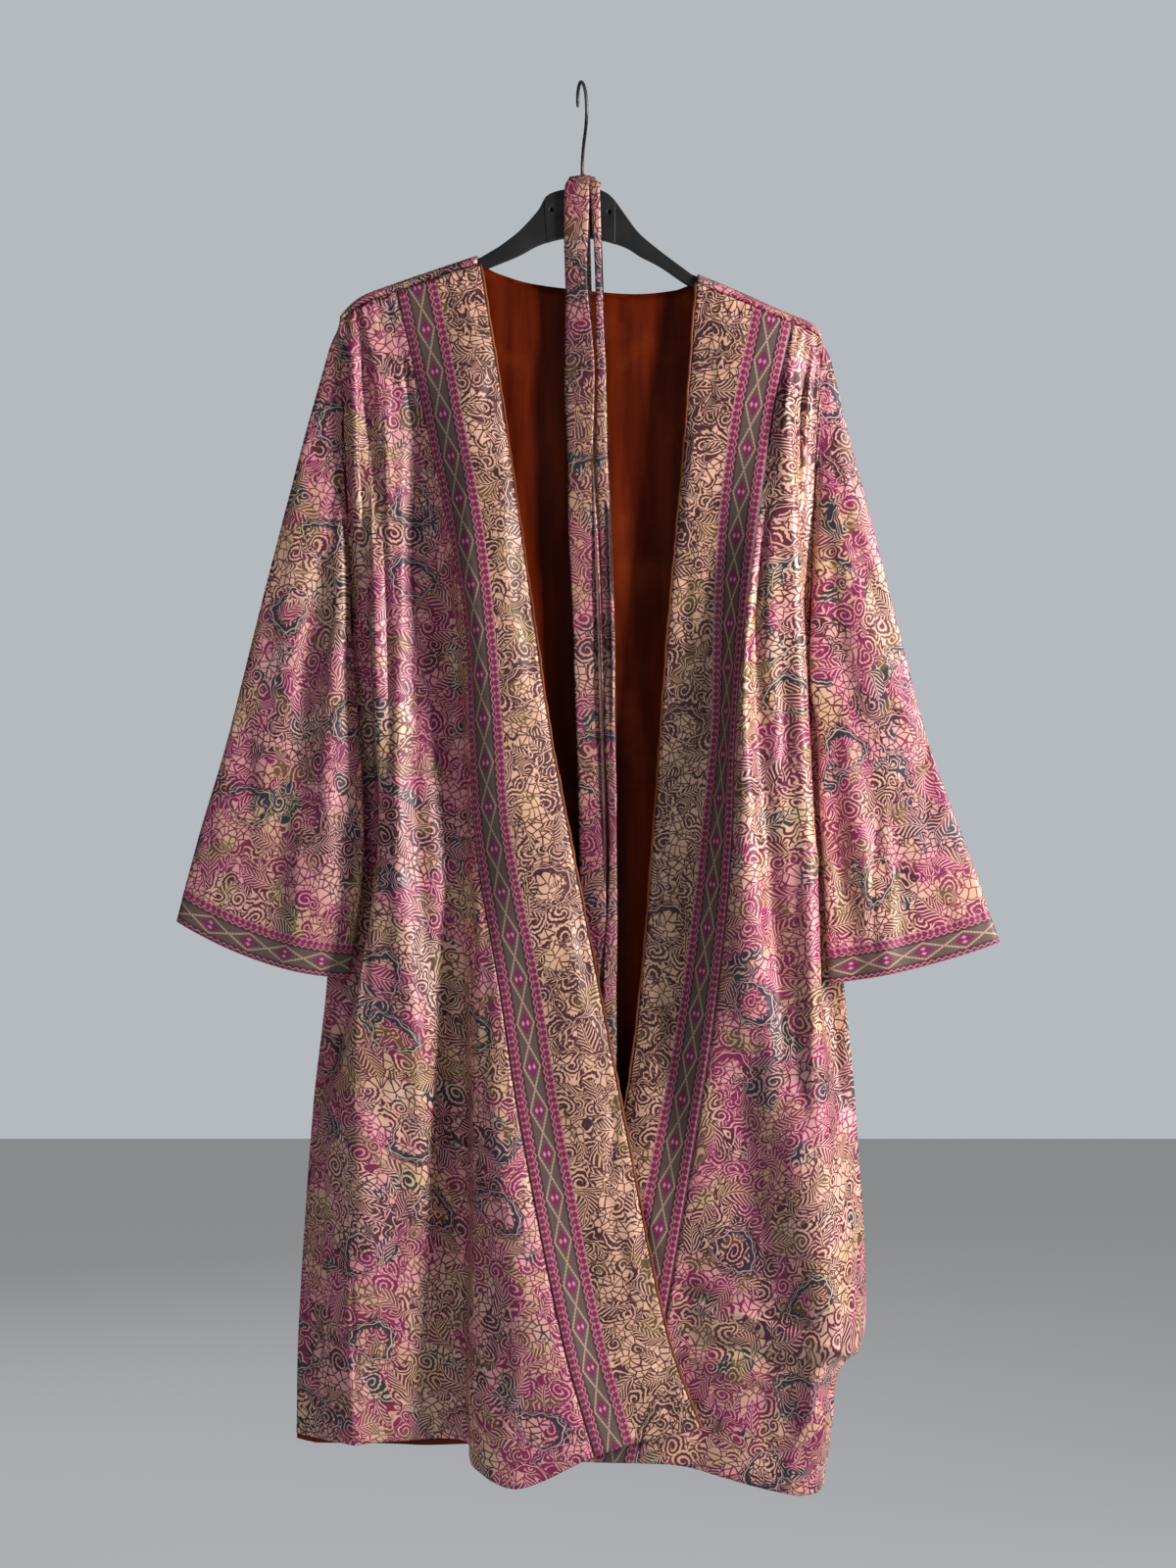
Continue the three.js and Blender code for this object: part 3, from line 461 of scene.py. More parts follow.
def border_colour(f, under, across, along):
    """Lays the border over the colour `under`; returns it and the mask of its threads."""
    inside = step(across, 0.0, 0.1) * (1 - step(across, BORDER["end"], 0.5))
    colour = f.blend(inside, under, PALE_PINK)
    field = line(across - BORDER["field"], BORDER["field_half"], 0.5)
    colour = f.blend(field, colour, TAUPE)
    for place in (BORDER["field"] - BORDER["field_half"], BORDER["field"] + BORDER["field_half"]):
        colour = f.blend(line(across - place, 0.7, 0.5), colour, DEEP_LINE)
    threads = line(across - BORDER["seam"] * 0.5, BORDER["seam"] * 0.5, 0.4)
    colour = f.blend(threads, colour, DEEP_LINE)
    for row in ("beads", "beads_in"):
        bead_x = across - BORDER[row]
        bead_y = ((along / BEAD_PITCH).math("FRACT") - 0.5) * BEAD_PITCH
        distance = (bead_x * bead_x + bead_y * bead_y).math("SQRT")
        bead = 1 - step(distance, BEAD_RADIUS, 0.5)
        colour = f.blend(union(bead, line(bead_x, 0.4, 0.4)), colour, BEAD)
        toward_field = BEAD_EDGE if row == "beads" else -BEAD_EDGE
        colour = f.blend(line(bead_x - toward_field, 0.5, 0.4), colour, BEAD)
    for row in ("cord", "cord_in"):
        wave = (along * (2 * math.pi / CORD_PITCH)).math("SINE") * CORD_SWING
        middle = across - BORDER[row]
        colour = f.blend(line(middle, CORD_HALF, 0.4), colour, WINE)
        colour = f.blend(line(middle - wave, 0.6, 0.4), colour, PALE_PINK)
    crossing = abs((along / (2 * ROPE_PITCH)).math("FRACT") - 0.5) * 4 - 1
    swing = crossing * ROPE_SWING
    middle = across - BORDER["field"]
    twist = step((along * 2.1).math("SINE"), -0.3, 0.8)
    ropes = union(line(middle - swing, ROPE_HALF, 0.5), line(middle + swing, ROPE_HALF, 0.5))
    colour = f.blend(ropes * field * (0.55 + twist * 0.45), colour, ROPE)
    from_middle = ((along / ROPE_PITCH + 0.5).math("FRACT") - 0.5) * ROPE_PITCH
    gem = abs(middle) * (1 / GEM_HALF_WIDE) + abs(from_middle) * (1 / GEM_HALF_LONG)
    colour = f.blend(1 - step(gem, 1.0, 0.1), colour, DIAMOND)
    facet = abs(abs(middle) - 2.1) + abs(from_middle) * 0.55
    colour = f.blend(1 - step(facet, 1.5, 0.8), colour, DIAMOND_LIGHT)
    return colour, inside


def band_silk(name, slide):
    """Brown jaal on beige, with the border along the side where the map starts."""
    f = satin_silk(name)
    place = cloth_place(f)
    across, along, _ = f.split(place)
    slid = f.vector("ADD", place, slide)
    lines, _, _, _ = jaal(f, slid)
    patch = f.noise(slid, 80, 1.0)
    ground = f.blend(step(patch, 0.5, 0.2), BEIGE, BEIGE_SHADE)
    ink = f.blend(step(patch, 0.52, 0.08), BROWN, DARK_WINE)
    ink = f.blend(step(f.noise(slid, 34, 0.5), 0.66, 0.04) * 0.7, ink, OLIVE)
    colour = f.blend(lines, ground, ink)
    colour, woven = border_colour(f, colour, across, along)
    return silk_look(f, slid, colour, union(lines, woven * 0.7))


def cuff_silk(name, slide):
    """The jaal with the border round the cuff, from its cord to its upper beads."""
    f = satin_silk(name)
    place = cloth_place(f, slide)
    colour, lines = jaal_colour(f, place)
    drop = f.node("ShaderNodeAttribute", {"attribute_name": "from_cuff"}, {}, 2)
    across, _, _ = f.split(cloth_place(f))
    colour, woven = border_colour(f, colour, drop / MM + CUFF_START, across)
    return silk_look(f, place, colour, union(lines, woven * 0.7))


# %% [markdown]
# ## Satin lining, plastic and steel
# The lining is a plain rust satin in faint upright folds, with painted highlight and shade in
# upright streaks along them and painted sheen on crushed places. The hanger is moulded
# plastic with a fine grain, and its hook is drawn wire, dull with age.

# %% Plain finishes
def rust_satin(name, dark, light):
    f = Finish(name, Specular_IOR_Level=0.10)
    place = cloth_place(f)
    folds_and_painted_sheen = f.noise(f.vector("MULTIPLY", place, (1.0, 0.12, 1)), 22, 3.0)
    marks = f.noise(place, 75, 4.0)
    # Painted highlight and shade: the dark colour is the shaded satin and the light one the lit
    # satin along its folds, and crush marks get a lighter painted sheen.
    tone = f.blend(step(folds_and_painted_sheen, 0.52, 0.30), dark, light)
    tone = f.blend(step(marks, 0.64, 0.16) * 0.4, tone, paint(0.55, 0.22, 0.04))
    weave = f.noise(f.vector("MULTIPLY", place, (3.0, 0.4, 1)), 1.6, 1.0)
    rough = 0.36 + marks * 0.16
    normal = f.bump(weave * 0.4 + folds_and_painted_sheen * 0.6, 0.3, 0.0012)
    return f.finish(Base_Color=tone, Roughness=rough, Normal=normal)


def moulded_plastic():
    f = Finish("black_plastic", Specular_IOR_Level=0.5)
    place = f.node("ShaderNodeTexCoord", {}, {}, 3)
    grain = f.node("ShaderNodeTexNoise", {}, {"Vector": place, "Scale": 900.0, "Detail": 2.0})
    rubbed = f.node("ShaderNodeTexNoise", {}, {"Vector": place, "Scale": 28.0, "Detail": 3.0})
    tone = f.blend(step(rubbed, 0.55, 0.3), paint(0.085, 0.085, 0.09), paint(0.13, 0.13, 0.135))
    return f.finish(Base_Color=tone, Roughness=0.40 + rubbed * 0.18,
                    Normal=f.bump(grain, 0.12, 0.0003))


def drawn_wire():
    f = Finish("hook_steel", Metallic=1.0)
    place = f.node("ShaderNodeTexCoord", {}, {}, 3)
    spots = f.node("ShaderNodeTexNoise", {}, {"Vector": place, "Scale": 260.0, "Detail": 4.0})
    tone = f.blend(step(spots, 0.55, 0.3), paint(0.42, 0.41, 0.42), paint(0.24, 0.22, 0.22))
    return f.finish(Base_Color=tone, Roughness=0.28 + spots * 0.25,
                    Normal=f.bump(spots, 0.15, 0.0003))


# Each satin: its shaded colour and its lit colour, painted in streaks along its folds.
LINING = rust_satin("rust_satin", paint(0.31, 0.07, 0.005), paint(0.44, 0.14, 0.015))
EDGE_SATIN = rust_satin("edge_satin", paint(0.44, 0.21, 0.12), paint(0.64, 0.40, 0.26))
PLASTIC = moulded_plastic()
STEEL = drawn_wire()


# %% [markdown]
# ## Curves through tables
# The jacket's shape is kept in short tables of millimetres, the same ones as the packed
# model. `smooth` runs a curve down a table, and `over_folds` runs one over the lines at one
# height. Heights are written as drops below the inner top of the hook.

# %% Curves through tables
def smooth(knots, values, t):
    """The value at t of a smooth curve through the knots; values may differ by place."""
    knots, values, t = (np.asarray(a, float) for a in (knots, values, t))
    last = len(knots) - 1
    i = np.clip(np.searchsorted(knots[1:], t), 0, last - 1)
    columns = np.arange(values.shape[-1])

    def value(k):
        return values[k] if values.ndim == 1 else values[k, :, columns].T

    def slope(k):
        a, b = np.maximum(k - 1, 0), np.minimum(k + 1, last)
        return (value(b) - value(a)) / (knots[b] - knots[a])

    run = knots[i + 1] - knots[i]
    f = np.clip((t - knots[i]) / run, 0, 1)
    g = 1 - f
    ends = value(i) * (1 + 2 * f) * g * g + value(i + 1) * (3 - 2 * f) * f * f
    return ends + run * (slope(i) * f * g * g - slope(i + 1) * f * f * g)


def over_folds(places, at):
    """A rounded curve through the fold lines, places[line, row], read at each share `at`."""
    first, last = 2 * places[0] - places[1], 2 * places[-1] - places[-2]
    posts = np.concatenate([[first], places, [last]])
    i = np.clip(np.floor(at).astype(int), 0, len(places) - 2)
    t = (at - i)[:, None, None]
    p = [posts[i + k] for k in range(4)]
    d = [np.sqrt(np.linalg.norm(b - a, axis=2, keepdims=True)) for a, b in zip(p, p[1:])]
    leave = ((p[1] - p[0]) / d[0] - (p[2] - p[0]) / (d[0] + d[1])) * d[1] + (p[2] - p[1])
    meet = (p[2] - p[1]) - ((p[3] - p[1]) / (d[1] + d[2]) - (p[3] - p[2]) / d[2]) * d[1]
    bend = -3 * p[1] + 3 * p[2] - 2 * leave - meet
    close = 2 * p[1] - 2 * p[2] + leave + meet
    curve = p[1] + leave * t + bend * t ** 2 + close * t ** 3
    return curve.transpose(1, 0, 2)


def ease(t):
    """0 to 1 with a soft start and end."""
    t = np.clip(t, 0, 1)
    return t * t * (3 - 2 * t)


# %% [markdown]
# ## A sheet of cloth
# A sheet is a grid of places, rows down and columns to the right as seen from outside. It
# could be simulated, but a simulation settles where it likes; here each fold has a known
# place, so the grid is laid on the table's surface and then pressed in and out along its
# normals: wide soft waves, seam puckers, and the creases that are listed one by one. Its map
# is measured on the cloth itself, so the print is never stretched.

# %% A sheet of cloth
class Sheet:
    """Places in millimetres, [row, column, xyz], and the cloth's own measure of them."""

    def __init__(self, places, origin=0):
        self.places = places
        self.measure(origin)

    def normals(self):
        down = np.gradient(self.places, axis=0)
        right = np.gradient(self.places, axis=1)
        outward = np.cross(down, right)
        return outward / np.maximum(np.linalg.norm(outward, axis=2, keepdims=True), 1e-9)

    def measure(self, origin):
        """u runs square to the column `origin` and v along it, both by the tape."""
        fall = np.gradient(self.places, axis=0)
        fall /= np.linalg.norm(fall, axis=2, keepdims=True)
        lengths = np.linalg.norm(np.diff(self.places[:, origin], axis=0), axis=1)
        start = np.concatenate([[0], np.cumsum(lengths)])
        right = np.diff(self.places, axis=1)
        mid = (fall[:, 1:] + fall[:, :-1]) / 2
        slide = (right * mid).sum(axis=2)
        width = np.linalg.norm(right - slide[..., None] * mid, axis=2)
        blank = np.zeros((len(self.places), 1))
        u = np.concatenate([blank, np.cumsum(width, axis=1)], axis=1)
        v = np.concatenate([blank, np.cumsum(slide, axis=1)], axis=1)
        self.u = u - u[:, [origin]]
        self.v = v - v[:, [origin]] + start[:, None]

    def press(self, depth):
        """Moves the cloth out along its normals by depth, or in where it is negative."""
        self.places = self.places + self.normals() * depth[..., None]

    def size(self):
        """The cut that these places would lie flat as: width, length and area in metres."""
        down, right = np.diff(self.places, axis=0), np.diff(self.places, axis=1)
        wide = np.linalg.norm(right, axis=2).sum(axis=1).max()
        long = np.linalg.norm(down, axis=2).sum(axis=0).max()
        area = np.linalg.norm(np.cross(down[:, :-1], right[:-1]), axis=2).sum()
        return round(wide * MM, 3), round(long * MM, 3), round(area * MM * MM, 4)


def waves(x, drop, sizes, height, seed, lean=0.0):
    """Soft unevenness: crossing waves of several sizes, most of them upright folds."""
    rng = np.random.default_rng(seed)
    total = np.zeros_like(x)
    for size in sizes:
        turn = lean + rng.normal(0, 0.5)
        stretch = rng.uniform(0.15, 0.6)
        phase = rng.uniform(0, 2 * np.pi, 3)
        across_way = x * np.cos(turn) + drop * np.sin(turn) * stretch
        along_way = drop * 2 * np.pi / (size * 4.5)
        sway = np.sin(along_way + phase[1]) * 0.9
        fade = 0.6 + 0.4 * np.sin(along_way * 0.6 + phase[2])
        total += np.sin(across_way * 2 * np.pi / size + phase[0] + sway) * fade * size ** 0.7
    return total * height / sum(size ** 0.7 for size in sizes)


def crinkle(x, drop, seed, size=16.0):
    """Small sharp-edged dents, as satin keeps them: the larger of several slanted waves."""
    rng = np.random.default_rng(seed)
    best = np.full_like(x, -9.0)
    for _ in range(5):
        turn, pace = rng.uniform(0, np.pi), size * rng.uniform(0.7, 1.8)
        phase = rng.uniform(0, 2 * np.pi, 2)
        slow = np.sin((x * np.sin(turn) - drop * np.cos(turn)) * 2 * np.pi / (pace * 3) + phase[1])
        wave = np.sin((x * np.cos(turn) + drop * np.sin(turn)) * 2 * np.pi / pace + phase[0] + slow)
        best = np.maximum(best, wave)
    return best - 0.8


def creases(x, drop, table):
    """Each row of the table: from x, drop to x, drop; half width; height, minus for a trough."""
    total = np.zeros_like(x)
    for x0, drop0, x1, drop1, width, height in table:
        along = np.array([x1 - x0, drop1 - drop0], float)
        length = np.hypot(*along)
        t = ((x - x0) * along[0] + (drop - drop0) * along[1]) / length ** 2
        side = ((x - x0) * along[1] - (drop - drop0) * along[0]) / length
        side = side + width * 0.8 * np.sin(t * 5 + x0)
        fade = ease(t / 0.3) * ease((1 - t) / 0.3)
        total += height * np.exp(-(side / width) ** 2) * fade
    return total


def puckers(distance, along, height, pitch, reach):
    """Little pulls square to a seam: `distance` from it, `along` it, both in millimetres."""
    beat = np.sin(along * 2 * np.pi / pitch + 1.7 * np.sin(along / 31) + np.sin(along / 13))
    return height * beat * np.exp(-np.abs(distance) / reach)


def seam_dip(distance, depth=0.7, width=2.2):
    """The trough that a line of stitches pulls into the cloth."""
    return -depth * np.exp(-(distance / width) ** 2)


# %% [markdown]
# ## From places to pieces
# `cloth_piece` makes a flat grid, moves its corners to the sheet's places, joins its sides if
# it is a tube, and gives it a thickness inwards, so the lining is the inner face.

# %% From places to pieces
def grid_object(name, sheet, ring=False, extra=None, open_cells=None):
    """The sheet as a mesh with its map; a ring is joined, and open cells are left out."""
    rows, columns = sheet.places.shape[:2]
    bm = bmesh.new()
    bmesh.ops.create_grid(bm, x_segments=columns - 1, y_segments=rows - 1, size=1)
    if open_cells is not None:
        gone = []
        for face in bm.faces:
            middle = face.calc_center_median()
            i = int((middle.x + 1) / 2 * (columns - 1))
            j = int((1 - middle.y) / 2 * (rows - 1))
            if open_cells[j, i]:
                gone.append(face)
        bmesh.ops.delete(bm, geom=gone, context="FACES")
    mesh = bpy.data.meshes.new(name)
    bm.to_mesh(mesh)
    bm.free()
    flat = np.empty(len(mesh.vertices) * 3, np.float32)
    mesh.vertices.foreach_get("co", flat)
    flat = flat.reshape(-1, 3)
    i = np.rint((flat[:, 0] + 1) / 2 * (columns - 1)).astype(int)
    j = np.rint((1 - flat[:, 1]) / 2 * (rows - 1)).astype(int)
    mesh.vertices.foreach_set("co", (sheet.places[j, i] * MM).astype(np.float32).ravel())
    corner = np.empty(len(mesh.loops), np.int32)
    mesh.loops.foreach_get("vertex_index", corner)
    marks = np.stack([sheet.u[j, i], sheet.v[j, i]], axis=1)[corner] * MM
    layer = mesh.uv_layers.new(name=CLOTH_MAP)
    layer.data.foreach_set("uv", marks.astype(np.float32).ravel())
    if extra is not None:
        label, values = extra
        attribute = mesh.attributes.new(label, "FLOAT", "POINT")
        attribute.data.foreach_set("value", (values[j, i] * MM).astype(np.float32))
    if ring:
        bm = bmesh.new()
        bm.from_mesh(mesh)
        bmesh.ops.remove_doubles(bm, verts=bm.verts, dist=1e-6)
        bm.to_mesh(mesh)
        bm.free()
    mesh.polygons.foreach_set("use_smooth", [True] * len(mesh.polygons))
    made = bpy.data.objects.new(name, mesh)
    bpy.context.collection.objects.link(made)
    return made


SHELL_WALL, LINING_WALL, BELT_WALL = 1.4, 1.0, 0.5


def give_thickness(made, thickness, outer, inner):
    """The sheet is the outer face, and the wall grows inwards from it."""
    made.data.materials.append(outer)
    made.data.materials.append(inner)
    wall = made.modifiers.new("wall", "SOLIDIFY")
    wall.thickness = thickness * MM
    wall.offset = -1
    wall.material_offset = 1


def ride_along(made):
    """The piece moves with the body."""
    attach(made, "root")


def seat(made, node):
    """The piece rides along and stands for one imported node."""
    ride_along(made)
    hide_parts(node)
    low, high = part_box(node)
    corners = np.array([v.co for v in made.data.vertices])
    over = max(np.max(np.array(low) - corners.min(0)), np.max(corners.max(0) - np.array(high)))
    print(f"{made.name}: {len(made.data.polygons)} faces, {over / MM:.1f} mm past {node}")


def declare_cut(made, sheet, rests_on=("hanger_body",), **joined):
    """Says which flat cut the hanging piece was made from, all round where it is a tube."""
    width, length, area = sheet.size()
    print(f"{made.name}: cut {width} x {length} m, {area} m2")


def cloth_piece(name, node, sheet, outer, inner, thickness=SHELL_WALL, ring=False,
                extra=None, rests_on=("hanger_body",)):
    """A hanging piece of the jacket, from its sheet to its declared cut."""
    made = grid_object(name, sheet, ring, extra)
    give_thickness(made, thickness, outer, inner)
    seat(made, node)
    declare_cut(made, sheet, rests_on)
    return made


# %% [markdown]
# ## The shoulders and the fronts
# The cloth hangs from a line over the hanger's arms. Each front is drawn by its fold lines
# from the shoulder to the hem, with x and y given at a few heights. The wearer's right front
# laps over the left one low down, and its side is a deep fold behind a ridge.

# %% The line of the shoulders, and the fold lines of the fronts
CLOTH = 1.6                      # the wall of a plain piece
SHOULDER_LAP = 9                 # how far the back comes down in front to its seam
SHOULDER = {
    "x": [-228, -218, -202, -175, -139, -112, -96, -60, 60, 106, 149, 185, 211, 223],
    "drop": [216, 207, 195, 184.5, 172, 163, 158, 150, 158, 175, 193, 209, 220, 228],
}
LEVELS = [310, 490, 600, 700, 830, 940, 1140]    # the drops between shoulder and hem
FRONT_TOP_GAP = 0.65             # from there to the front's own edge
# Each line: its hem drop; x at the shoulder, at each level and at the hem; y at the same.
RIGHT_LINES = [
    (1238, [-222, -219, -213, -222, -227, -235, -247, -260, -262],
     [-9, -10, 0, 2, 2, 2, -1, -4, -4]),
    (1240, [-219, -214, -205, -194, -190, -209, -239, -243, -244],
     [-9, -12, -5, 0, 0, 0, -8, -12, -12]),
    (1242, [-213, -206, -197, -187, -186, -206, -226, -222, -220],
     [-10, -19, -19, -20, -20, -20, -24, -22, -22]),
    (1243, [-207, -195, -188, -184, -185, -203, -208, -207, -206],
     [-11, -10, -30, -40, -42, -44, -40, -32, -32]),
    (1242, [-199, -183, -175, -173, -170, -175, -178, -188, -187],
     [-12, -20, -36, -42, -46, -46, -44, -30, -26]),
    (1242, [-190, -166, -149, -145, -142, -143, -145, -152, -152],
     [-12, -14, -26, -30, -34, -38, -38, -26, -20]),
    (1244, [-182, -153, -124, -117, -112, -112, -113, -110, -107],
     [-12, -13, -16, -16, -17, -17, -16, -13, -12]),
    (1260, [-178, -149, -117, -110, -106, -102, -99, -99, -100],
     [-12, -14, -18, -18, -20, -26, -34, -40, -40]),
    (1279, [-174, -147, -113, -107, -101, -89, -79, -65, -62],
     [-12, -15, -24, -24, -28, -38, -48, -54, -52]),
    (1251, [-170, -144, -108, -103, -97, -75, -58, -19, 11],
     [-12, -17, -34, -36, -34, -46, -50, -50, -40]),
    (1240, [-134, -114, -98, -86, -71, -46, -26, 14, 49],
     [-13, -28, -50, -50, -50, -52, -52, -48, -38]),
    (1234, [-114, -94, -73, -57, -40, -14, 5, 46, 78],
     [-13, -31, -52, -52, -52, -54, -54, -46, -38]),
    (1228, [-94, -71, -45, -29, -10, 15, 36, 76, 107],
     [-11, -24, -44, -46, -46, -48, -48, -42, -34]),
]
RIGHT_BAND_SEAM = 9
LEFT_LINES = [
    (1258, [105, 96, 80, 72, 65, 54, 39, -8, -44],
     [-9, -12, -12, -12, -12, -12, -12, -12, -12]),
    (1261, [128, 115, 104, 97, 90, 76, 58, 16, -16],
     [-11, -16, -16, -18, -20, -20, -18, -16, -15]),
    (1262, [154, 136, 126, 121, 109, 93, 78, 41, 13],
     [-12, -18, -18, -22, -28, -28, -24, -20, -18]),
    (1262, [192, 174, 148, 138, 135, 123, 107, 74, 49],
     [-13, -22, -40, -50, -50, -44, -36, -26, -22]),
    (1264, [196, 179, 154, 145, 145, 144, 136, 109, 86],
     [-13, -23, -44, -54, -55, -48, -34, -30, -26]),
    (1273, [200, 186, 168, 163, 165, 165, 163, 154, 127],
     [-12, -22, -44, -50, -54, -44, -32, -36, -30]),
    (1283, [204, 192, 183, 184, 188, 189, 191, 196, 167],
     [-12, -18, -36, -42, -48, -46, -42, -42, -34]),
    (1289, [209, 200, 194, 198, 204, 212, 217, 227, 196],
     [-11, -12, -26, -34, -38, -46, -48, -44, -34]),
    (1289, [213, 205, 198, 202, 208, 216, 229, 243, 211],
     [-10, -16, -16, -18, -20, -20, -28, -34, -26]),
    (1288, [216, 209, 202, 206, 212, 219, 238, 252, 218],
     [-9, -11, -5, 0, 0, 0, -8, -20, -14]),
    (1286, [219, 215, 211, 221, 230, 241, 251, 258, 223],
     [-9, -10, 0, 2, 2, 2, -1, -4, -4]),
]
LEFT_BAND_SEAM = 3


def shoulder_drop(x):
    """How far below the hook's inner top the line of the shoulders lies."""
    return smooth(SHOULDER["x"], SHOULDER["drop"], x)


def pulled_in(places):
    """The left side is caught up above the hem: it steps in below a fold."""
    x, drop = places[..., 0], -places[..., 2]
    pull = smooth([1090, 1154, 1182, 1236, 1300], [0, 0, 16, 8, 0], drop)
    moved = places.copy()
    moved[..., 0] -= pull * ease((x - 165) / 75)
    return moved


def line_places(line, rows):
    """A fold line's places at each row: x and y from its table, and the drop."""
    hem, x, y = line
    top = float(shoulder_drop(x[0])) + SHOULDER_LAP + FRONT_TOP_GAP
    drop = top + (hem - top) * rows
    knots = [top, *LEVELS, hem]
    return np.stack([smooth(knots, x, drop), smooth(knots, y, drop), -drop], axis=1)


# Broad folds of a whole front, its band with it, as rows of `creases`; they end below the hem.
RIGHT_BROAD = [(-126, 560, 22, 1440, 32.0, 9.0), (-209, 760, -206, 1560, 22.0, 7.0),
               (-148, 560, -142, 1560, 21.0, -8.0), (-178, 230, -172, 1060, 20.0, -8.0)]
LEFT_BROAD = [(158, 620, 246, 1530, 24.0, 12.0), (114, 640, 62, 1560, 24.0, -5.0)]


def front_surface(lines, first, last, columns, rows):
    """The cloth between two fold lines of a front, with the broad folds laid on it."""
    places = np.array([line_places(line, np.linspace(0, 1, rows)) for line in lines])
    at = np.linspace(first, last, columns)
    cloth = over_folds(places, at)
    broad, side = (RIGHT_BROAD, 0) if lines is RIGHT_LINES else (LEFT_BROAD, len(lines) - 1)
    cloth[..., 1] -= creases(cloth[..., 0], -cloth[..., 2], broad) * ease(abs(at - side) / 2)
    return pulled_in(cloth)


# %% [markdown]
# ## Creases of the fronts
# The right front has small gathers under the shoulder beside the sleeve, a pressed crease low
# at the side, and pulls across the band. The left front is dented where the lapped front
# leans on it, near the hem.

# %% The fronts
FRONT_ROWS = 270
SEAM_TRIM = 0.008                # what band and panel each lack at their seam, in fold lines
HEM_STITCH = 11                  # from the hem's edge to its line of stitches
RIGHT_CREASES = [
    (-212, 236, -206, 560, 4.5, 2.6), (-201, 250, -195, 640, 3.2, -3.6),
    (-193, 300, -186, 680, 3.4, 3.4), (-182, 236, -176, 640, 3.4, -3.2),
    (-172, 232, -160, 840, 6.0, 3.6), (-207, 1066, -206, 1238, 2.6, -1.8),
    (-152, 300, -138, 900, 8.0, -3.6), (-200, 900, -190, 1230, 9.0, 3.0),
    (-163, 228, -146, 380, 3.6, -2.2), (-205, 640, -196, 900, 5.0, -2.6),
    (-150, 560, -128, 800, 7.0, 1.6), (-166, 830, -160, 1120, 8.0, -2.2),
    (-118, 620, -114, 1200, 9.0, -5.0), (-150, 700, -146, 1200, 10.0, 3.4),
    (-97, 600, -94, 1180, 4.5, 2.4),
    (-230, 900, -170, 1010, 9.0, 1.8), (-240, 1120, -150, 1190, 10.0, -1.6),
    (-200, 690, -150, 740, 8.0, -1.4), (-60, 1130, -70, 1262, 7.0, 2.0),
    (-88, 1000, -30, 1110, 7.0, -1.4), (-180, 400, -130, 450, 8.0, 1.2),
]
LEFT_CREASES = [
    (60, 1102, 190, 1142, 6.0, -3.6), (66, 1112, 290, 1166, 5.5, 5.0),
    (70, 1136, 280, 1188, 8.0, -5.0), (88, 1088, 190, 1108, 6.0, 2.2),
    (70, 1206, 260, 1222, 26.0, -6.0), (96, 1170, 190, 1196, 5.0, 2.0),
    (157, 160, 178, 1010, 10.0, -11.0), (189, 140, 203, 1020, 8.0, 10.0),
    (140, 380, 146, 760, 7.0, 2.6), (184, 520, 178, 660, 5.0, -2.4),
    (229, 820, 234, 1050, 5.0, -2.6), (160, 740, 172, 1010, 9.0, 2.4),
    (200, 760, 208, 1000, 7.0, -2.2),
    (118, 1180, 92, 1262, 7.0, 1.8), (176, 1170, 160, 1275, 8.0, -2.0),
    (205, 1180, 192, 1285, 6.0, 2.0), (186, 700, 250, 760, 8.0, 1.4),
    (140, 880, 215, 940, 9.0, -1.6), (240, 1085, 215, 1190, 6.0, 2.2),
]
RIGHT_BAND_CREASES = [
    (-30, 560, 6, 688, 4.0, -2.4), (22, 915, 30, 1015, 4.5, -2.8),
    (-84, 300, -56, 520, 7.0, 1.5), (-70, 250, -92, 330, 6.0, -1.4),
    (-20, 740, 20, 900, 6.0, 1.8), (36, 1010, 66, 1150, 6.0, 1.8),
    (10, 1000, 50, 1090, 5.0, -1.6), (60, 1150, 90, 1228, 6.0, -1.8),
    (-66, 470, -36, 560, 6.0, -1.3), (-100, 214, -88, 262, 4.0, 1.4),
]
LEFT_BAND_CREASES = [
    (98, 280, 92, 520, 6.0, 1.5), (86, 430, 108, 560, 5.0, -1.5),
    (76, 640, 98, 790, 6.0, 1.6), (60, 800, 84, 930, 5.5, -1.7),
    (38, 930, 70, 1090, 6.0, 1.4), (110, 230, 120, 330, 5.0, -1.2),
]
PRINT = printed_silk("printed_silk", (0, 0, 0))
BAND = band_silk("band_silk", (130, 60, 0))


def ruffle(x, drop, seed, height=1.3):
    """The unevenness that every hanging panel has."""
    wide = waves(x, drop, (34, 55, 90, 130), height * 1.35, seed)
    small = waves(x, drop, (11, 17, 24), height * 0.16, seed + 7, 0.6)
    return wide + small + crinkle(x, drop, seed + 3) * 0.11 * height


def hem_sewing(from_hem, along):
    """Puckers at the hem, and the dip of its stitches."""
    return puckers(from_hem, along, 0.35, 13, 8) + seam_dip(from_hem - HEM_STITCH, 0.45, 1.6)


def press_front(sheet, table, seed, band_side, open_side):
    """band_side and open_side are the columns of the band's seam and of the other edge."""
    x, drop = sheet.places[..., 0], -sheet.places[..., 2]
    u, v = sheet.u, sheet.v
    from_seam = np.abs(u - u[:, [band_side]])
    from_open = np.abs(u - u[:, [open_side]])
    from_top, from_hem = v - v[:1], v[-1:] - v
    free = ease(from_seam / 9) * ease(from_open / 6) * ease(from_top / 14)
    depth = (ruffle(x, drop, seed) + creases(x, drop, table)) * free
    depth += puckers(from_seam, v, 0.32, 11, 7) * ease(from_top / 20) + seam_dip(from_seam)
    depth += puckers(from_top, u, 0.75, 10, 26) * ease(from_top / 3)
    depth += hem_sewing(from_hem, u)
    sheet.press(depth)


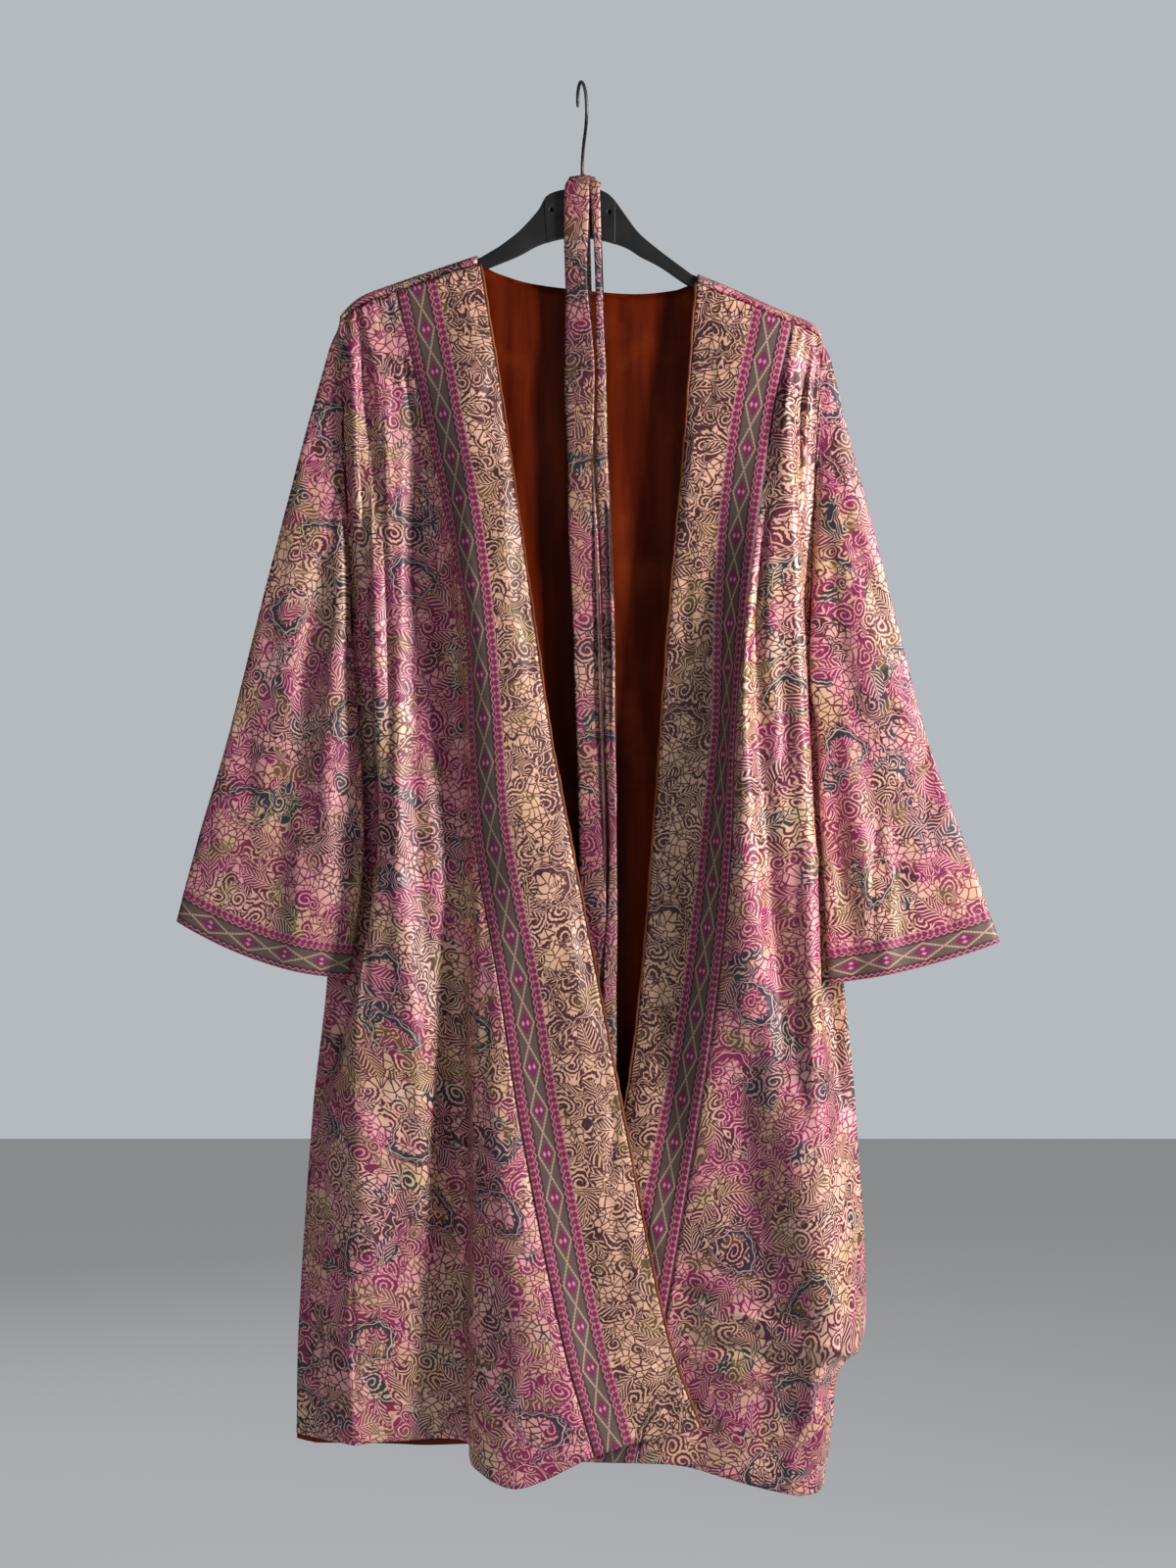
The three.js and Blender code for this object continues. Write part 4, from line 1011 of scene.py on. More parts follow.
front_right_sheet = Sheet(front_surface(
    RIGHT_LINES, 0, RIGHT_BAND_SEAM - SEAM_TRIM, 104, FRONT_ROWS), -1)
press_front(front_right_sheet, RIGHT_CREASES, 11, -1, 0)
front_left_sheet = Sheet(front_surface(
    LEFT_LINES, LEFT_BAND_SEAM + SEAM_TRIM, len(LEFT_LINES) - 1, 84, FRONT_ROWS), 0)
press_front(front_left_sheet, LEFT_CREASES, 23, 0, -1)
band_right_sheet = Sheet(front_surface(
    RIGHT_LINES, RIGHT_BAND_SEAM + SEAM_TRIM, len(RIGHT_LINES) - 1, 34, FRONT_ROWS), 0)
press_front(band_right_sheet, RIGHT_BAND_CREASES, 31, 0, -1)
band_left_sheet = Sheet(front_surface(
    LEFT_LINES, 0, LEFT_BAND_SEAM - SEAM_TRIM, 34, FRONT_ROWS), -1)
press_front(band_left_sheet, LEFT_BAND_CREASES, 43, -1, 0)
band_left_sheet.u = -band_left_sheet.u

cloth_piece("front_right_cloth", "front_right", front_right_sheet, PRINT, LINING)
cloth_piece("front_left_cloth", "front_left", front_left_sheet, PRINT, LINING)
cloth_piece("band_right_cloth", "front_band_right", band_right_sheet, BAND, LINING)
cloth_piece("band_left_cloth", "front_band_left", band_left_sheet, BAND, LINING)


# %% [markdown]
# ## The back and its lining
# One panel: it comes over the arms to the shoulder seams, with a shallow neck between them,
# and falls straight. The part over the arms is made as its own rows above the neck, left out
# where the neck is open. The lining lies 0.6 mm inside it, sewn along the neck.

# %% The back
NECK = {
    "x": [-96, -86, -78, -49, 5, 50, 86, 97, 106],
    "drop": [163, 168.5, 172.5, 181.5, 188.5, 191.5, 188, 184, 181],
}
BACK_DROPS = [225, 310, 490, 600, 700, 830, 940, 1140, 1262]
BACK_AT = [0.00, 0.12, 0.25, 0.36, 0.50, 0.63, 0.76, 0.88, 1.00]
BACK_DEPTHS = [
    [9, 9, 5, 6, 6, 6, 3, 0, 0], [9, 11, 14, 12, 14, 18, 22, 20, 20],
    [9, 10, 11, 14, 12, 12, 12, 14, 13], [9, 12, 14, 17, 20, 22, 22, 24, 24],
    [9, 11, 12, 12, 13, 13, 14, 14, 14], [9, 12, 13, 16, 18, 20, 22, 23, 24],
    [9, 10, 12, 13, 12, 13, 14, 13, 13], [9, 11, 14, 13, 15, 19, 21, 20, 20],
    [9, 9, 5, 6, 6, 6, 3, 0, 0],
]
BACK_HEM = {"x": [-262, -245, -200, -100, 0, 100, 180, 223],
            "drop": [1243, 1248, 1251, 1252, 1256, 1264, 1276, 1284]}
SHOULDER_END = {"left": 219, "right": -222}
SIDE_HEM = {"left": 1284, "right": 1243}
SHOULDER_DEPTH = 9
BACK_TOP_LAP = 6
ARMHOLE_TOP = 225
BACK_ROWS, BACK_COLUMNS = 230, 132
# Round the arm, from the seam in front to the flat of the back: shares of depth and of lap.
WRAP_DEPTH = [-1.0, -1.0, -0.93, -0.76, -0.45, 0.0, 0.45, 0.76, 0.93, 1.0]
WRAP_FALL = [1.0, 0.62, 0.34, 0.12, 0.0, -0.04, 0.0, 0.12, 0.34, 0.66]
WRAP_SHORT = 0.25                # the wrap stops this far short of its lap
END_REACH, END_FALL, END_TAPER = 10, 2.4, 0.08   # how the wrap rounds off at the sleeves


def side_line(lines, which, drop, column):
    """x (column 1) or y (column 2) of a side seam at any drop."""
    line = lines[which]
    top = float(shoulder_drop(line[1][0])) + SHOULDER_LAP + FRONT_TOP_GAP
    return smooth([top, *LEVELS, line[0]], line[column], drop)


def shoulder_place(at):
    """x on the line of the shoulders at a share of its length, from the wearer's left."""
    return SHOULDER_END["left"] + (SHOULDER_END["right"] - SHOULDER_END["left"]) * at


def shoulder_share(x):
    return (SHOULDER_END["left"] - x) / (SHOULDER_END["left"] - SHOULDER_END["right"])


def back_depth(at, drop):
    """y of the back at a share of its width; above the armhole it keeps one depth."""
    held = np.maximum(drop, ARMHOLE_TOP)
    depths = np.array([smooth(BACK_DROPS, row, held) for row in BACK_DEPTHS])
    return smooth(BACK_AT, depths, at)


def back_surface(at, rows):
    """The flat of the back, from the neck and shoulders to the hem."""
    shoulder_x = shoulder_place(at)
    in_neck = (shoulder_x > NECK["x"][0]) & (shoulder_x < NECK["x"][-1])
    top = np.where(in_neck, smooth(NECK["x"], NECK["drop"], shoulder_x),
                   shoulder_drop(shoulder_x) + BACK_TOP_LAP)
    f = rows[:, None]
    hem = SIDE_HEM["left"] + (SIDE_HEM["right"] - SIDE_HEM["left"]) * at
    guess = np.maximum(top + (hem - top) * f, ARMHOLE_TOP)
    left, right = side_line(LEFT_LINES, -1, guess, 1), side_line(RIGHT_LINES, 0, guess, 1)
    x = left + (right - left) * at
    drop = top + (smooth(BACK_HEM["x"], BACK_HEM["drop"], x) - top) * f
    return pulled_in(np.stack([x, back_depth(at, drop), -drop], axis=2))


def wrap_surface(at):
    """The rows over the arm, from the shoulder seam in front to the flat of the back."""
    shoulder_x = shoulder_place(at)
    lap = SHOULDER_LAP - WRAP_SHORT
    fall = np.array(WRAP_FALL)[:, None]
    from_end = np.minimum(SHOULDER_END["left"] - shoulder_x, shoulder_x - SHOULDER_END["right"])
    rounded = 1 - ease(from_end / END_REACH)
    sunk = END_FALL * rounded * np.clip(1 - 1.5 * fall, 0, 1)
    drop = shoulder_drop(shoulder_x) + lap * fall + sunk
    depth = np.array(WRAP_DEPTH)[:, None] * SHOULDER_DEPTH * (1 - END_TAPER * rounded)
    return np.stack([np.repeat(shoulder_x[None], len(WRAP_FALL), axis=0), depth, -drop], axis=2)


BACK_CREASES = [
    (-170, 330, -120, 620, 9.0, 2.4), (-60, 420, -40, 900, 12.0, -2.6),
    (60, 360, 86, 760, 10.0, 2.4), (150, 420, 170, 900, 9.0, -2.2),
    (-205, 800, -180, 1240, 8.0, 2.6), (-110, 760, -96, 1245, 10.0, -2.8),
    (20, 800, 40, 1250, 9.0, 2.4), (130, 900, 120, 1262, 8.0, -2.4),
    (-200, 268, -120, 300, 7.0, -1.8), (120, 262, 200, 296, 7.0, -1.8),
    (200, 1080, 110, 1150, 9.0, 2.2), (190, 1110, 90, 1182, 8.0, -2.0),
]


def back_depths(sheet):
    """How far to press each place, and its distance from the neck or shoulder and the hem."""
    x, drop = sheet.places[..., 0], -sheet.places[..., 2]
    side = np.minimum(np.abs(sheet.u - sheet.u[:, [0]]), np.abs(sheet.u - sheet.u[:, [-1]]))
    from_top, from_hem = sheet.v - sheet.v[:1], sheet.v[-1:] - sheet.v
    free = ease(side / 14) * ease((from_top - 4) / 40)
    depth = (ruffle(x, drop, 57, 1.4) + creases(x, drop, BACK_CREASES)) * free
    return depth + puckers(side, drop, 0.4, 12, 8) * ease(from_top / 60), from_top, from_hem


columns = np.linspace(0, 1, BACK_COLUMNS)
neck_left, neck_right = shoulder_share(NECK["x"][-1]), shoulder_share(NECK["x"][0])
for share in (neck_left, neck_right):
    columns[np.argmin(np.abs(columns - share))] = share
flat_back = back_surface(columns, np.linspace(0, 1, BACK_ROWS))
whole_back = np.concatenate([wrap_surface(columns), flat_back])
wrap_rows = len(WRAP_FALL)
neck_cells = (columns[:-1] > neck_left - 1e-6) & (columns[1:] < neck_right + 1e-6)
neck_open = np.zeros((len(whole_back) - 1, BACK_COLUMNS - 1), bool)
neck_open[:wrap_rows] = neck_cells
back_sheet = Sheet(flat_back, BACK_COLUMNS // 2)
depth, from_top, from_hem = back_depths(back_sheet)
depth += hem_sewing(from_hem, back_sheet.u)
back_normals = back_sheet.normals()
whole = Sheet(whole_back, BACK_COLUMNS // 2)
whole.places[wrap_rows:] += back_normals * depth[..., None]
back_cloth = grid_object("back_cloth", whole, open_cells=neck_open)
give_thickness(back_cloth, SHELL_WALL, PRINT, LINING)
seat(back_cloth, "back_panel")
declare_cut(back_cloth, whole)

# %% The back lining
LINING_INSET = 0.03
LINING_TOP_LAP = 3
LAYER = 0.6
LINING_ROWS, LINING_COLUMNS = 180, 100
lining_columns = np.linspace(LINING_INSET, 1 - LINING_INSET, LINING_COLUMNS)
below = np.linspace(0, 1, LINING_ROWS)
lining_sheet = Sheet(back_surface(lining_columns, below), LINING_COLUMNS // 2)
lining_depth, lining_from_top, _ = back_depths(lining_sheet)
lining_depth += puckers(lining_from_top, lining_sheet.u, 0.4, 12, 10) * ease(lining_from_top / 5)
lining_sheet.press(lining_depth * (1 - np.exp(-lining_from_top / 8)))
lining_sheet.places[..., 1] -= CLOTH + LAYER
lining_sheet.places[..., 2] -= LINING_TOP_LAP * (1 - below[:, None])
cloth_piece("back_lining_satin", "back_lining", lining_sheet, LINING, LINING,
            thickness=LINING_WALL, rests_on=("back_cloth",))


# %% [markdown]
# ## The sleeves
# A sleeve is a flattened tube. Each row of its table is a section: where the outer and the
# inner fold lie, how deep half the sleeve is at each, and how far the middle hangs. It
# starts on the armhole, where it takes the body's own depth. Soft folds fall from the
# shoulder, and one pleat of the left sleeve opens towards the cuff.

# %% The sleeves
# Rows: outer x, drop, y, half depth; inner x, drop, y, half depth; sag of the middle.
RIGHT_SECTIONS = [
    (-223, 214, 0, 9, -213, 465, -1, 3, 0), (-231, 240, -1, 8.5, -211, 507, -7, 4, 0),
    (-248, 301, -3, 8, -207, 550, -10, 5, 0), (-274, 400, -6, 8, -204, 597, -11, 6, 2),
    (-299, 499, -8, 8, -200, 652, -11, 6, 4), (-326, 607, -9, 8, -200, 712, -11, 6, 7),
    (-350, 688, -10, 9, -205, 766, -11, 6.5, 9), (-371, 768, -10, 9, -213, 820, -11, 7, 11),
]
LEFT_SECTIONS = [
    (220, 229, 0, 9.8, 210, 465, -1, 3.8, 0), (228, 252, -1, 9.3, 209, 507, -7, 4.8, 0),
    (241, 308, -3, 8.8, 209, 550, -10, 5.8, 0), (262, 391, -6, 8.8, 215, 597, -11, 6.8, 1),
    (289, 499, -8, 8.8, 217, 652, -11, 6.8, 2), (319, 611, -9, 8.8, 220, 712, -11, 6.8, 3),
    (352, 701, -10, 9.8, 223, 769, -11, 7.3, 4), (382, 787, -10, 9.8, 226, 825, -11, 7.8, 5),
]
# Folds down a sleeve: place across it, width, depth, and from where to where along it.
RIGHT_FOLDS = [(0.30, 0.13, 3, 0.35, 1.1), (0.46, 0.12, -3, 0.2, 1.0), (0.72, 0.20, 10, 0.12, 1.4)]
LEFT_FOLDS = [(0.68, 0.10, 6, 0.5, 1.2), (0.86, 0.08, -3, 0.5, 1.1), (0.35, 0.14, 3, 0.1, 0.9)]
SLEEVE_FLATNESS = 0.4
ARMHOLE_GAP = 0.2
SLEEVE_ROWS, SLEEVE_COLUMNS = 170, 129
RIGHT_ARMHOLE = {"lines": RIGHT_LINES, "which": 0, "at": 1.0, "top": 225, "gap": -ARMHOLE_GAP}
LEFT_ARMHOLE = {"lines": LEFT_LINES, "which": -1, "at": 0.0, "top": 240, "gap": ARMHOLE_GAP}


def sleeve_surface(sections, folds, armhole, side):
    """The tube from the armhole to the cuff; its columns start and end on the inner fold."""
    knots = np.linspace(0, 1, len(sections))
    v = np.linspace(0, 1, SLEEVE_ROWS)[:, None]
    angle = side * np.linspace(-0.5, 0.5, SLEEVE_COLUMNS)[None] * 2 * np.pi
    table = [smooth(knots, column, v) for column in zip(*sections)]
    at = (1 - np.cos(angle)) / 2
    face = np.sin(angle)
    rounded = np.sign(face) * np.abs(face) ** SLEEVE_FLATNESS

    def between(outer, inner):
        return table[outer] + (table[inner] - table[outer]) * at

    drop = between(1, 5) + table[8] * 4 * at * (1 - at)
    own = 1 - ease(v / 0.16)
    held = np.maximum(drop, armhole["top"])
    seam_x = side_line(armhole["lines"], armhole["which"], held, 1) + armhole["gap"]
    front = side_line(armhole["lines"], armhole["which"], held, 2)
    back = smooth(BACK_DROPS, BACK_DEPTHS[0], np.maximum(drop, ARMHOLE_TOP))
    x = between(0, 4) * (1 - own) + seam_x * own
    middle = between(2, 6) * (1 - own) + (front + back) / 2 * own
    half = between(3, 7) * (1 - own) + (back - front) / 2 * own
    fold = np.zeros_like(x)
    for place, width, depth, start, end in folds:
        reach = 1 - ((v - (start + end) / 2) / ((end - start) / 2)) ** 2
        fold += depth * np.exp(-((at - place) / width) ** 2) * np.maximum(0, reach)
    fold = fold * np.abs(rounded) * np.where(face > 0, -1, 0.4)
    return np.stack([x, middle - half * rounded + fold, -drop], axis=2)


RIGHT_SLEEVE_CREASES = [
    (-232, 262, -290, 560, 7.0, 1.6), (-222, 300, -262, 640, 7.0, -1.8),
    (-214, 420, -240, 760, 6.0, 1.8), (-300, 560, -318, 790, 9.0, -1.8),
    (-262, 600, -268, 830, 8.0, 1.6), (-330, 640, -346, 780, 8.0, 1.5),
    (-206, 640, -250, 690, 5.0, -1.6), (-204, 700, -262, 742, 5.0, 1.4),
    (-212, 560, -262, 604, 5.0, -1.5), (-250, 380, -222, 470, 7.0, 1.2),
]
LEFT_SLEEVE_CREASES = [
    (223, 454, 268, 444, 5.0, -2.2), (257, 652, 336, 604, 5.0, -2.0),
    (269, 640, 267, 826, 4.0, -2.6), (278, 650, 279, 820, 5.0, 2.4),
    (232, 290, 268, 470, 7.0, 1.8), (226, 380, 244, 600, 6.0, -1.6),
    (252, 420, 300, 640, 9.0, 1.6), (300, 560, 345, 770, 9.0, -1.8),
    (222, 640, 262, 612, 5.0, 1.6), (224, 700, 250, 760, 5.0, -1.4),
    (320, 660, 356, 800, 8.0, 1.6), (236, 520, 300, 500, 6.0, 1.3),
]
CUFF_LINE = 30


def press_sleeve(sheet, table, seed):
    """Presses both sides of a sleeve; returns how far each place lies from the cuff."""
    x, drop = sheet.places[..., 0], -sheet.places[..., 2]
    columns = sheet.places.shape[1]
    ring = np.abs(np.linspace(-1, 1, columns))[None]
    back = sheet.normals()[..., 1] > 0
    from_top, from_cuff = sheet.v - sheet.v[:1], sheet.v[-1:] - sheet.v
    from_fold = np.minimum(ring, 1 - ring) * 2
    free = ease(from_top / 16) * ease(from_fold / 0.16)
    other_side = np.where(back, 37.0, 0.0)
    depth = ruffle(x + other_side, drop, seed, 1.5)
    depth += creases(np.where(back, x + 14, x), drop + np.where(back, 40, 0), table)
    depth *= free
    depth += puckers(from_top, sheet.u, 0.8, 11, 16) * ease(from_top / 3) + seam_dip(from_top)
    border = from_cuff - CUFF_LINE
    depth += puckers(border, sheet.u, 0.4, 14, 7) + seam_dip(border, 0.4, 1.6)
    sheet.press(depth)
    return from_cuff


def flat_map(sheet):
    """A sleeve lies flat, so its print is laid on its outline, opened at the outer fold."""
    middle = sheet.places.shape[1] // 2
    fold = sheet.places[:, middle, ::2]
    way = (fold[-1] - fold[0]) / np.linalg.norm(fold[-1] - fold[0])
    flat = sheet.places[..., ::2] - fold[0]
    off = flat @ np.array([way[1], -way[0]])
    turned = np.abs(np.diff(sheet.places[..., 1], axis=1))
    after = np.cumsum(turned[:, middle:], axis=1)
    before = np.cumsum(turned[:, :middle][:, ::-1], axis=1)[:, ::-1]
    start = np.zeros((len(off), 1))
    off = np.abs(off) + np.concatenate([before, start, after], axis=1)
    hand = np.sign(np.arange(off.shape[1]) - middle)
    sheet.u, sheet.v = off * hand, flat @ way


CUFF_SLIDES = {"right": (420, 90, 0), "left": (910, 310, 0)}
for side_name, sections, folds, armhole, side, table, seed in (
        ("right", RIGHT_SECTIONS, RIGHT_FOLDS, RIGHT_ARMHOLE, 1, RIGHT_SLEEVE_CREASES, 71),
        ("left", LEFT_SECTIONS, LEFT_FOLDS, LEFT_ARMHOLE, -1, LEFT_SLEEVE_CREASES, 83)):
    sleeve = Sheet(sleeve_surface(sections, folds, armhole, side), SLEEVE_COLUMNS // 2)
    from_cuff = press_sleeve(sleeve, table, seed)
    flat_map(sleeve)
    silk = cuff_silk(f"cuff_silk_{side_name}", CUFF_SLIDES[side_name])
    cloth_piece(f"sleeve_{side_name}_cloth", f"sleeve_{side_name}", sleeve,
                silk, LINING, ring=True, extra=("from_cuff", from_cuff),
                rests_on=("back_cloth",))


# %% [markdown]
# ## Rolled edges
# The lining is turned out over each front edge as a thin roll. It is a tube round the edge's
# own line, a little uneven, with the stitches pulling it in.

# %% Rolled edges and other tubes
def tube(route, across_way, half_wide, half_deep, sides, squareness=1.0):
    """A Sheet round a route of places: flat or round, closed on itself by its last column."""
    forward = np.gradient(route, axis=0)
    forward /= np.linalg.norm(forward, axis=1, keepdims=True)
    right = across_way - (across_way * forward).sum(axis=1)[:, None] * forward
    right /= np.linalg.norm(right, axis=1, keepdims=True)
    out = np.cross(forward, right)
    turn = np.linspace(0, 2 * np.pi, sides + 1)
    c, s = np.cos(turn), np.sin(turn)
    c = np.sign(c) * np.abs(c) ** squareness
    wide, deep = np.asarray(half_wide)[..., None], np.asarray(half_deep)[..., None]
    places = (route[:, None] + right[:, None] * (c * wide)[..., None]
              + out[:, None] * (s * deep)[..., None])
    return Sheet(places)


def closed_piece(name, node, sheet, finish, capped=True, cloth=None):
    """A tube's skin with its two ends filled, facing outwards; cloth is its thickness."""
    made = grid_object(name, sheet, ring=True)
    bm = bmesh.new()
    bm.from_mesh(made.data)
    if capped:
        ends = [edge for edge in bm.edges if edge.is_boundary]
        bmesh.ops.holes_fill(bm, edges=ends, sides=0)
    bmesh.ops.recalc_face_normals(bm, faces=bm.faces)
    bm.to_mesh(made.data)
    bm.free()
    if cloth is None:
        made.data.materials.append(finish)
    else:
        give_thickness(made, cloth, finish, finish)
    if node:
        seat(made, node)
    else:
        ride_along(made)
    return made


ROLL = 2.6


def rolled_edge(name, node, sheet, edge, inside):
    """The roll beside the column `edge` of a band, on the side away from `inside`."""
    line_in, line_out = sheet.places[:, inside], sheet.places[:, edge]
    outward = line_out - line_in
    outward /= np.linalg.norm(outward, axis=1, keepdims=True)
    normals = sheet.normals()[:, edge]
    v = sheet.v[:, edge]
    wobble = 0.25 * np.sin(v / 9) + 0.2 * np.sin(v / 3.7 + 1)
    route = line_out + outward * (ROLL / 2 + 0.1 + wobble[:, None]) - normals * (CLOTH / 2)
    radius = ROLL / 2 * (1 + 0.10 * np.sin(v * 2 * np.pi / 5.5))
    roll = tube(route, outward, radius, radius, 10)
    return closed_piece(name, node, roll, EDGE_SATIN)


rolled_edge("edge_right_roll", "edge_roll_right", band_right_sheet, -1, -4)
rolled_edge("edge_left_roll", "edge_roll_left", band_left_sheet, 0, 3)


# %% [markdown]
# ## The belt
# A flat tube of the same silk, looped over the hanger's neck with its two ends hanging. The
# long end lies flat, and the short one hangs beside it, folded lengthways. Each is a tube
# whose width and place come from a table, and the loop is a soft ring round the hook's stem.
# The cut of what shows is each end's skin, all round.

# %% The belt
# Rows: drop; x of its middle; y of its back; width.
BELT_LONG = [(87, -3.5, -3.5, 15), (97, -4.6, -7.0, 22), (172, -5.3, -7.3, 19.5),
             (257, -2.7, -6.3, 26.5), (340, -1.9, -5, 23.5), (422, 1.9, -3, 25.5),
             (505, 4.9, -2, 26.5), (588, 7.2, -1, 25.5), (715, 9.5, 0, 23), (850, 12, 0, 26),
             (950, 12, 0, 28)]
BELT_SHORT = [(87, 8.5, -3.5, 6), (97, 11.5, -7.0, 9), (172, 14.4, -7.2, 6.5),
              (257, 17.7, -6.0, 8.5), (340, 18.1, -4.0, 10.5), (422, 20.9, -1.5, 11),
              (505, 24.4, -0.5, 11), (588, 25.6, -0.5, 10), (715, 28, -2.0, 7.5),
              (800, 26, -2.6, 12), (905, 25, -2.6, 14)]
BELT_LOOP = {"x": 1, "half_x": 16.4, "front": 8.6, "back": 8, "top": 84, "foot": 96.6,
             "shaft": 2.1, "shoulders": 8.5}
# The same silk, darkened by a flat factor.
BELT = printed_silk("belt_silk", (700, 520, 0), (0.70, 0.62, 0.64, 1))


def strand(rows, count, half_deep, seed):
    """A hanging end: its table's route, swaying and turning a little as it falls."""
    drops, x, y, width = (np.array(column, float) for column in zip(*rows))
    drop = np.linspace(drops[0], drops[-1], count)
    sway = 0.8 * np.sin(drop / 47 + seed) + 0.4 * np.sin(drop / 19 + seed)
    route = np.stack([smooth(drops, x, drop) + sway * 0.4,
                      smooth(drops, y, drop) - half_deep + 0.3 * sway, -drop], axis=1)
    half = smooth(drops, width, drop) / 2 * (1 + 0.03 * np.sin(drop / 23 + seed))
    facing = np.repeat([[1.0, 0, 0]], count, axis=0)
    facing[:, 1] = 0.18 * np.sin(drop / 90 + seed)
    sheet = tube(route, facing, half, np.full(count, half_deep), 28, 0.8)
    depth = waves(sheet.u, drop[:, None] + sheet.u * 0, (9, 15, 26), 0.45, int(seed), 0.9)
    sheet.press(depth * ease((drop[:, None] - drops[0]) / 20))
    return sheet


def belt_loop():
    """A ring section swept round the hook's stem, wrinkled where the silk bunches."""
    turn, roll = np.meshgrid(np.linspace(0, 2 * np.pi, 61), np.linspace(0, 2 * np.pi, 37))
    near = BELT_LOOP["shaft"]
    deep = np.where(np.sin(turn) > 0, BELT_LOOP["back"], BELT_LOOP["front"])
    far_x, far_y = BELT_LOOP["x"] + BELT_LOOP["half_x"] * np.cos(turn), deep * np.sin(turn)
    reach = (1 + np.cos(roll)) / 2
    height = (BELT_LOOP["foot"] - BELT_LOOP["top"]) / 2
    rise = height * np.sign(np.sin(roll)) * np.abs(np.sin(roll)) ** 0.6
    bunch = 0.5 * np.sin(turn * 9 + np.sin(roll) * 2) + 0.35 * np.sin(turn * 17 + 2)
    rise = rise + bunch * np.abs(np.sin(roll))
    x = near * np.cos(turn) + (far_x - near * np.cos(turn)) * reach
    y = near * np.sin(turn) + (far_y - near * np.sin(turn)) * reach
    out = (x - BELT_LOOP["x"]) / BELT_LOOP["half_x"]
    rise = rise - BELT_LOOP["shoulders"] * out ** 2 * np.clip(rise / height, 0, 1)
    middle = -(BELT_LOOP["top"] + BELT_LOOP["foot"]) / 2
    return Sheet(np.stack([x, y, middle + rise], axis=2))


long_sheet = strand(BELT_LONG, 300, 1.5, 2.0)
short_sheet = strand(BELT_SHORT, 280, 1.6, 5.0)
belt_long = closed_piece("belt_long_end", "belt", long_sheet, BELT,
                         cloth=BELT_WALL)
belt_short = closed_piece("belt_short_end", None, short_sheet, BELT,
                          cloth=BELT_WALL)
loop = closed_piece("belt_loop", None, belt_loop(), BELT, capped=False)
declare_cut(belt_long, long_sheet, with_pieces=[loop])
declare_cut(belt_short, short_sheet)


# %% [markdown]
# ## The hanger
# The body is one flat moulding: a filled outline with a soft bevel, two small holes that a
# web closes half way in, and a raised middle that the arms grow out of.

# %% The hanger
HANGER_TOP = {
    "x": [-76, -58, -41, -33, -22, -10, 10, 20, 29, 41, 53, 72],
    "drop": [149.5, 135.5, 117, 103.5, 98.4, 97, 97, 99, 106, 122.5, 138, 154],
}
HANGER_FOOT = {
    "x": [109, 94, 72, 53, 40, 20, 0, -20, -40, -58, -76, -94],
    "drop": [190, 183, 168, 158, 150, 143.5, 141, 142, 148, 157.5, 165, 172],
}
ARM_TIPS = (-200, 200)
ARM_SLACK, ARM_HEIGHT, ARM_DEPTH = CLOTH + 0.7, 13, 9
ARM_ENDS = {"right_top": -93, "left_top": 100, "left_foot": 122, "right_foot": -110}
ARM_TIP = [(2.2, 6), (2.6, 10)]          # corners of the rounded tip: outwards and down
PLATE_HOLES = [(-28, 116), (25, 118)]
HOLE_RADIUS = 1.8
BOSS_MIDDLE, BOSS_HALF, BOSS_FOOT = -2, 34.5, 152
BOSS_SHARE, BOSS_RISE = 0.985, 0.6       # its share of the middle's width, and its height
WEB_DEPTH = 1.2                          # what closes the holes half way in


def hanger_outline():
    """Corners round the hanger, close enough together to read as smooth curves."""
    def arm(start, end, more):
        x = np.linspace(start, end, 14)
        return np.stack([x, -(shoulder_drop(x) + ARM_SLACK + more)], axis=1)

    def middle(table):
        t = np.linspace(0, 1, 60)
        knots = np.linspace(0, 1, len(table["x"]))
        return np.stack([smooth(knots, table["x"], t), -smooth(knots, table["drop"], t)], axis=1)

    def tip(x, hand, corners):
        top = float(shoulder_drop(x))
        return [(x + hand * out, -(top + down)) for out, down in corners]

    right, left = ARM_TIPS
    return np.concatenate([
        arm(right, ARM_ENDS["right_top"], 0), middle(HANGER_TOP),
        arm(ARM_ENDS["left_top"], left, 0), tip(left, 1, ARM_TIP),
        arm(left, ARM_ENDS["left_foot"], ARM_HEIGHT), middle(HANGER_FOOT),
        arm(ARM_ENDS["right_foot"], right, ARM_HEIGHT), tip(right, -1, ARM_TIP[::-1])])


def plate(name, outlines, depth, bevel):
    """A flat moulding: filled outlines, the later ones holes in the first, stood upright."""
    data = bpy.data.curves.new(name, "CURVE")
    data.dimensions, data.fill_mode = "2D", "BOTH"
    data.extrude, data.bevel_depth = (depth / 2 - bevel) * MM, bevel * MM
    data.bevel_resolution, data.offset = 3, -bevel * MM
    for corners in outlines:
        spline = data.splines.new("POLY")
        spline.points.add(len(corners) - 1)
        for point, (x, z) in zip(spline.points, corners):
            point.co = (x * MM, z * MM, 0, 1)
        spline.use_cyclic_u = True
    rough = bpy.data.objects.new(name, data)
    bpy.context.collection.objects.link(rough)
    graph = bpy.context.evaluated_depsgraph_get()
    mesh = bpy.data.meshes.new_from_object(rough.evaluated_get(graph))
    bpy.data.objects.remove(rough)
    bm = bmesh.new()
    bm.from_mesh(mesh)
    bmesh.ops.remove_doubles(bm, verts=bm.verts, dist=1e-6)
    for vert in bm.verts:
        x, z, y = vert.co
        vert.co = (x, -y, z)
    bmesh.ops.recalc_face_normals(bm, faces=bm.faces)
    bm.to_mesh(mesh)
    bm.free()
    mesh.shade_smooth()
    mesh.set_sharp_from_angle(angle=math.radians(32))
    made = bpy.data.objects.new(name, mesh)
    bpy.context.collection.objects.link(made)
    mesh.materials.clear()
    mesh.materials.append(PLASTIC)
    return made


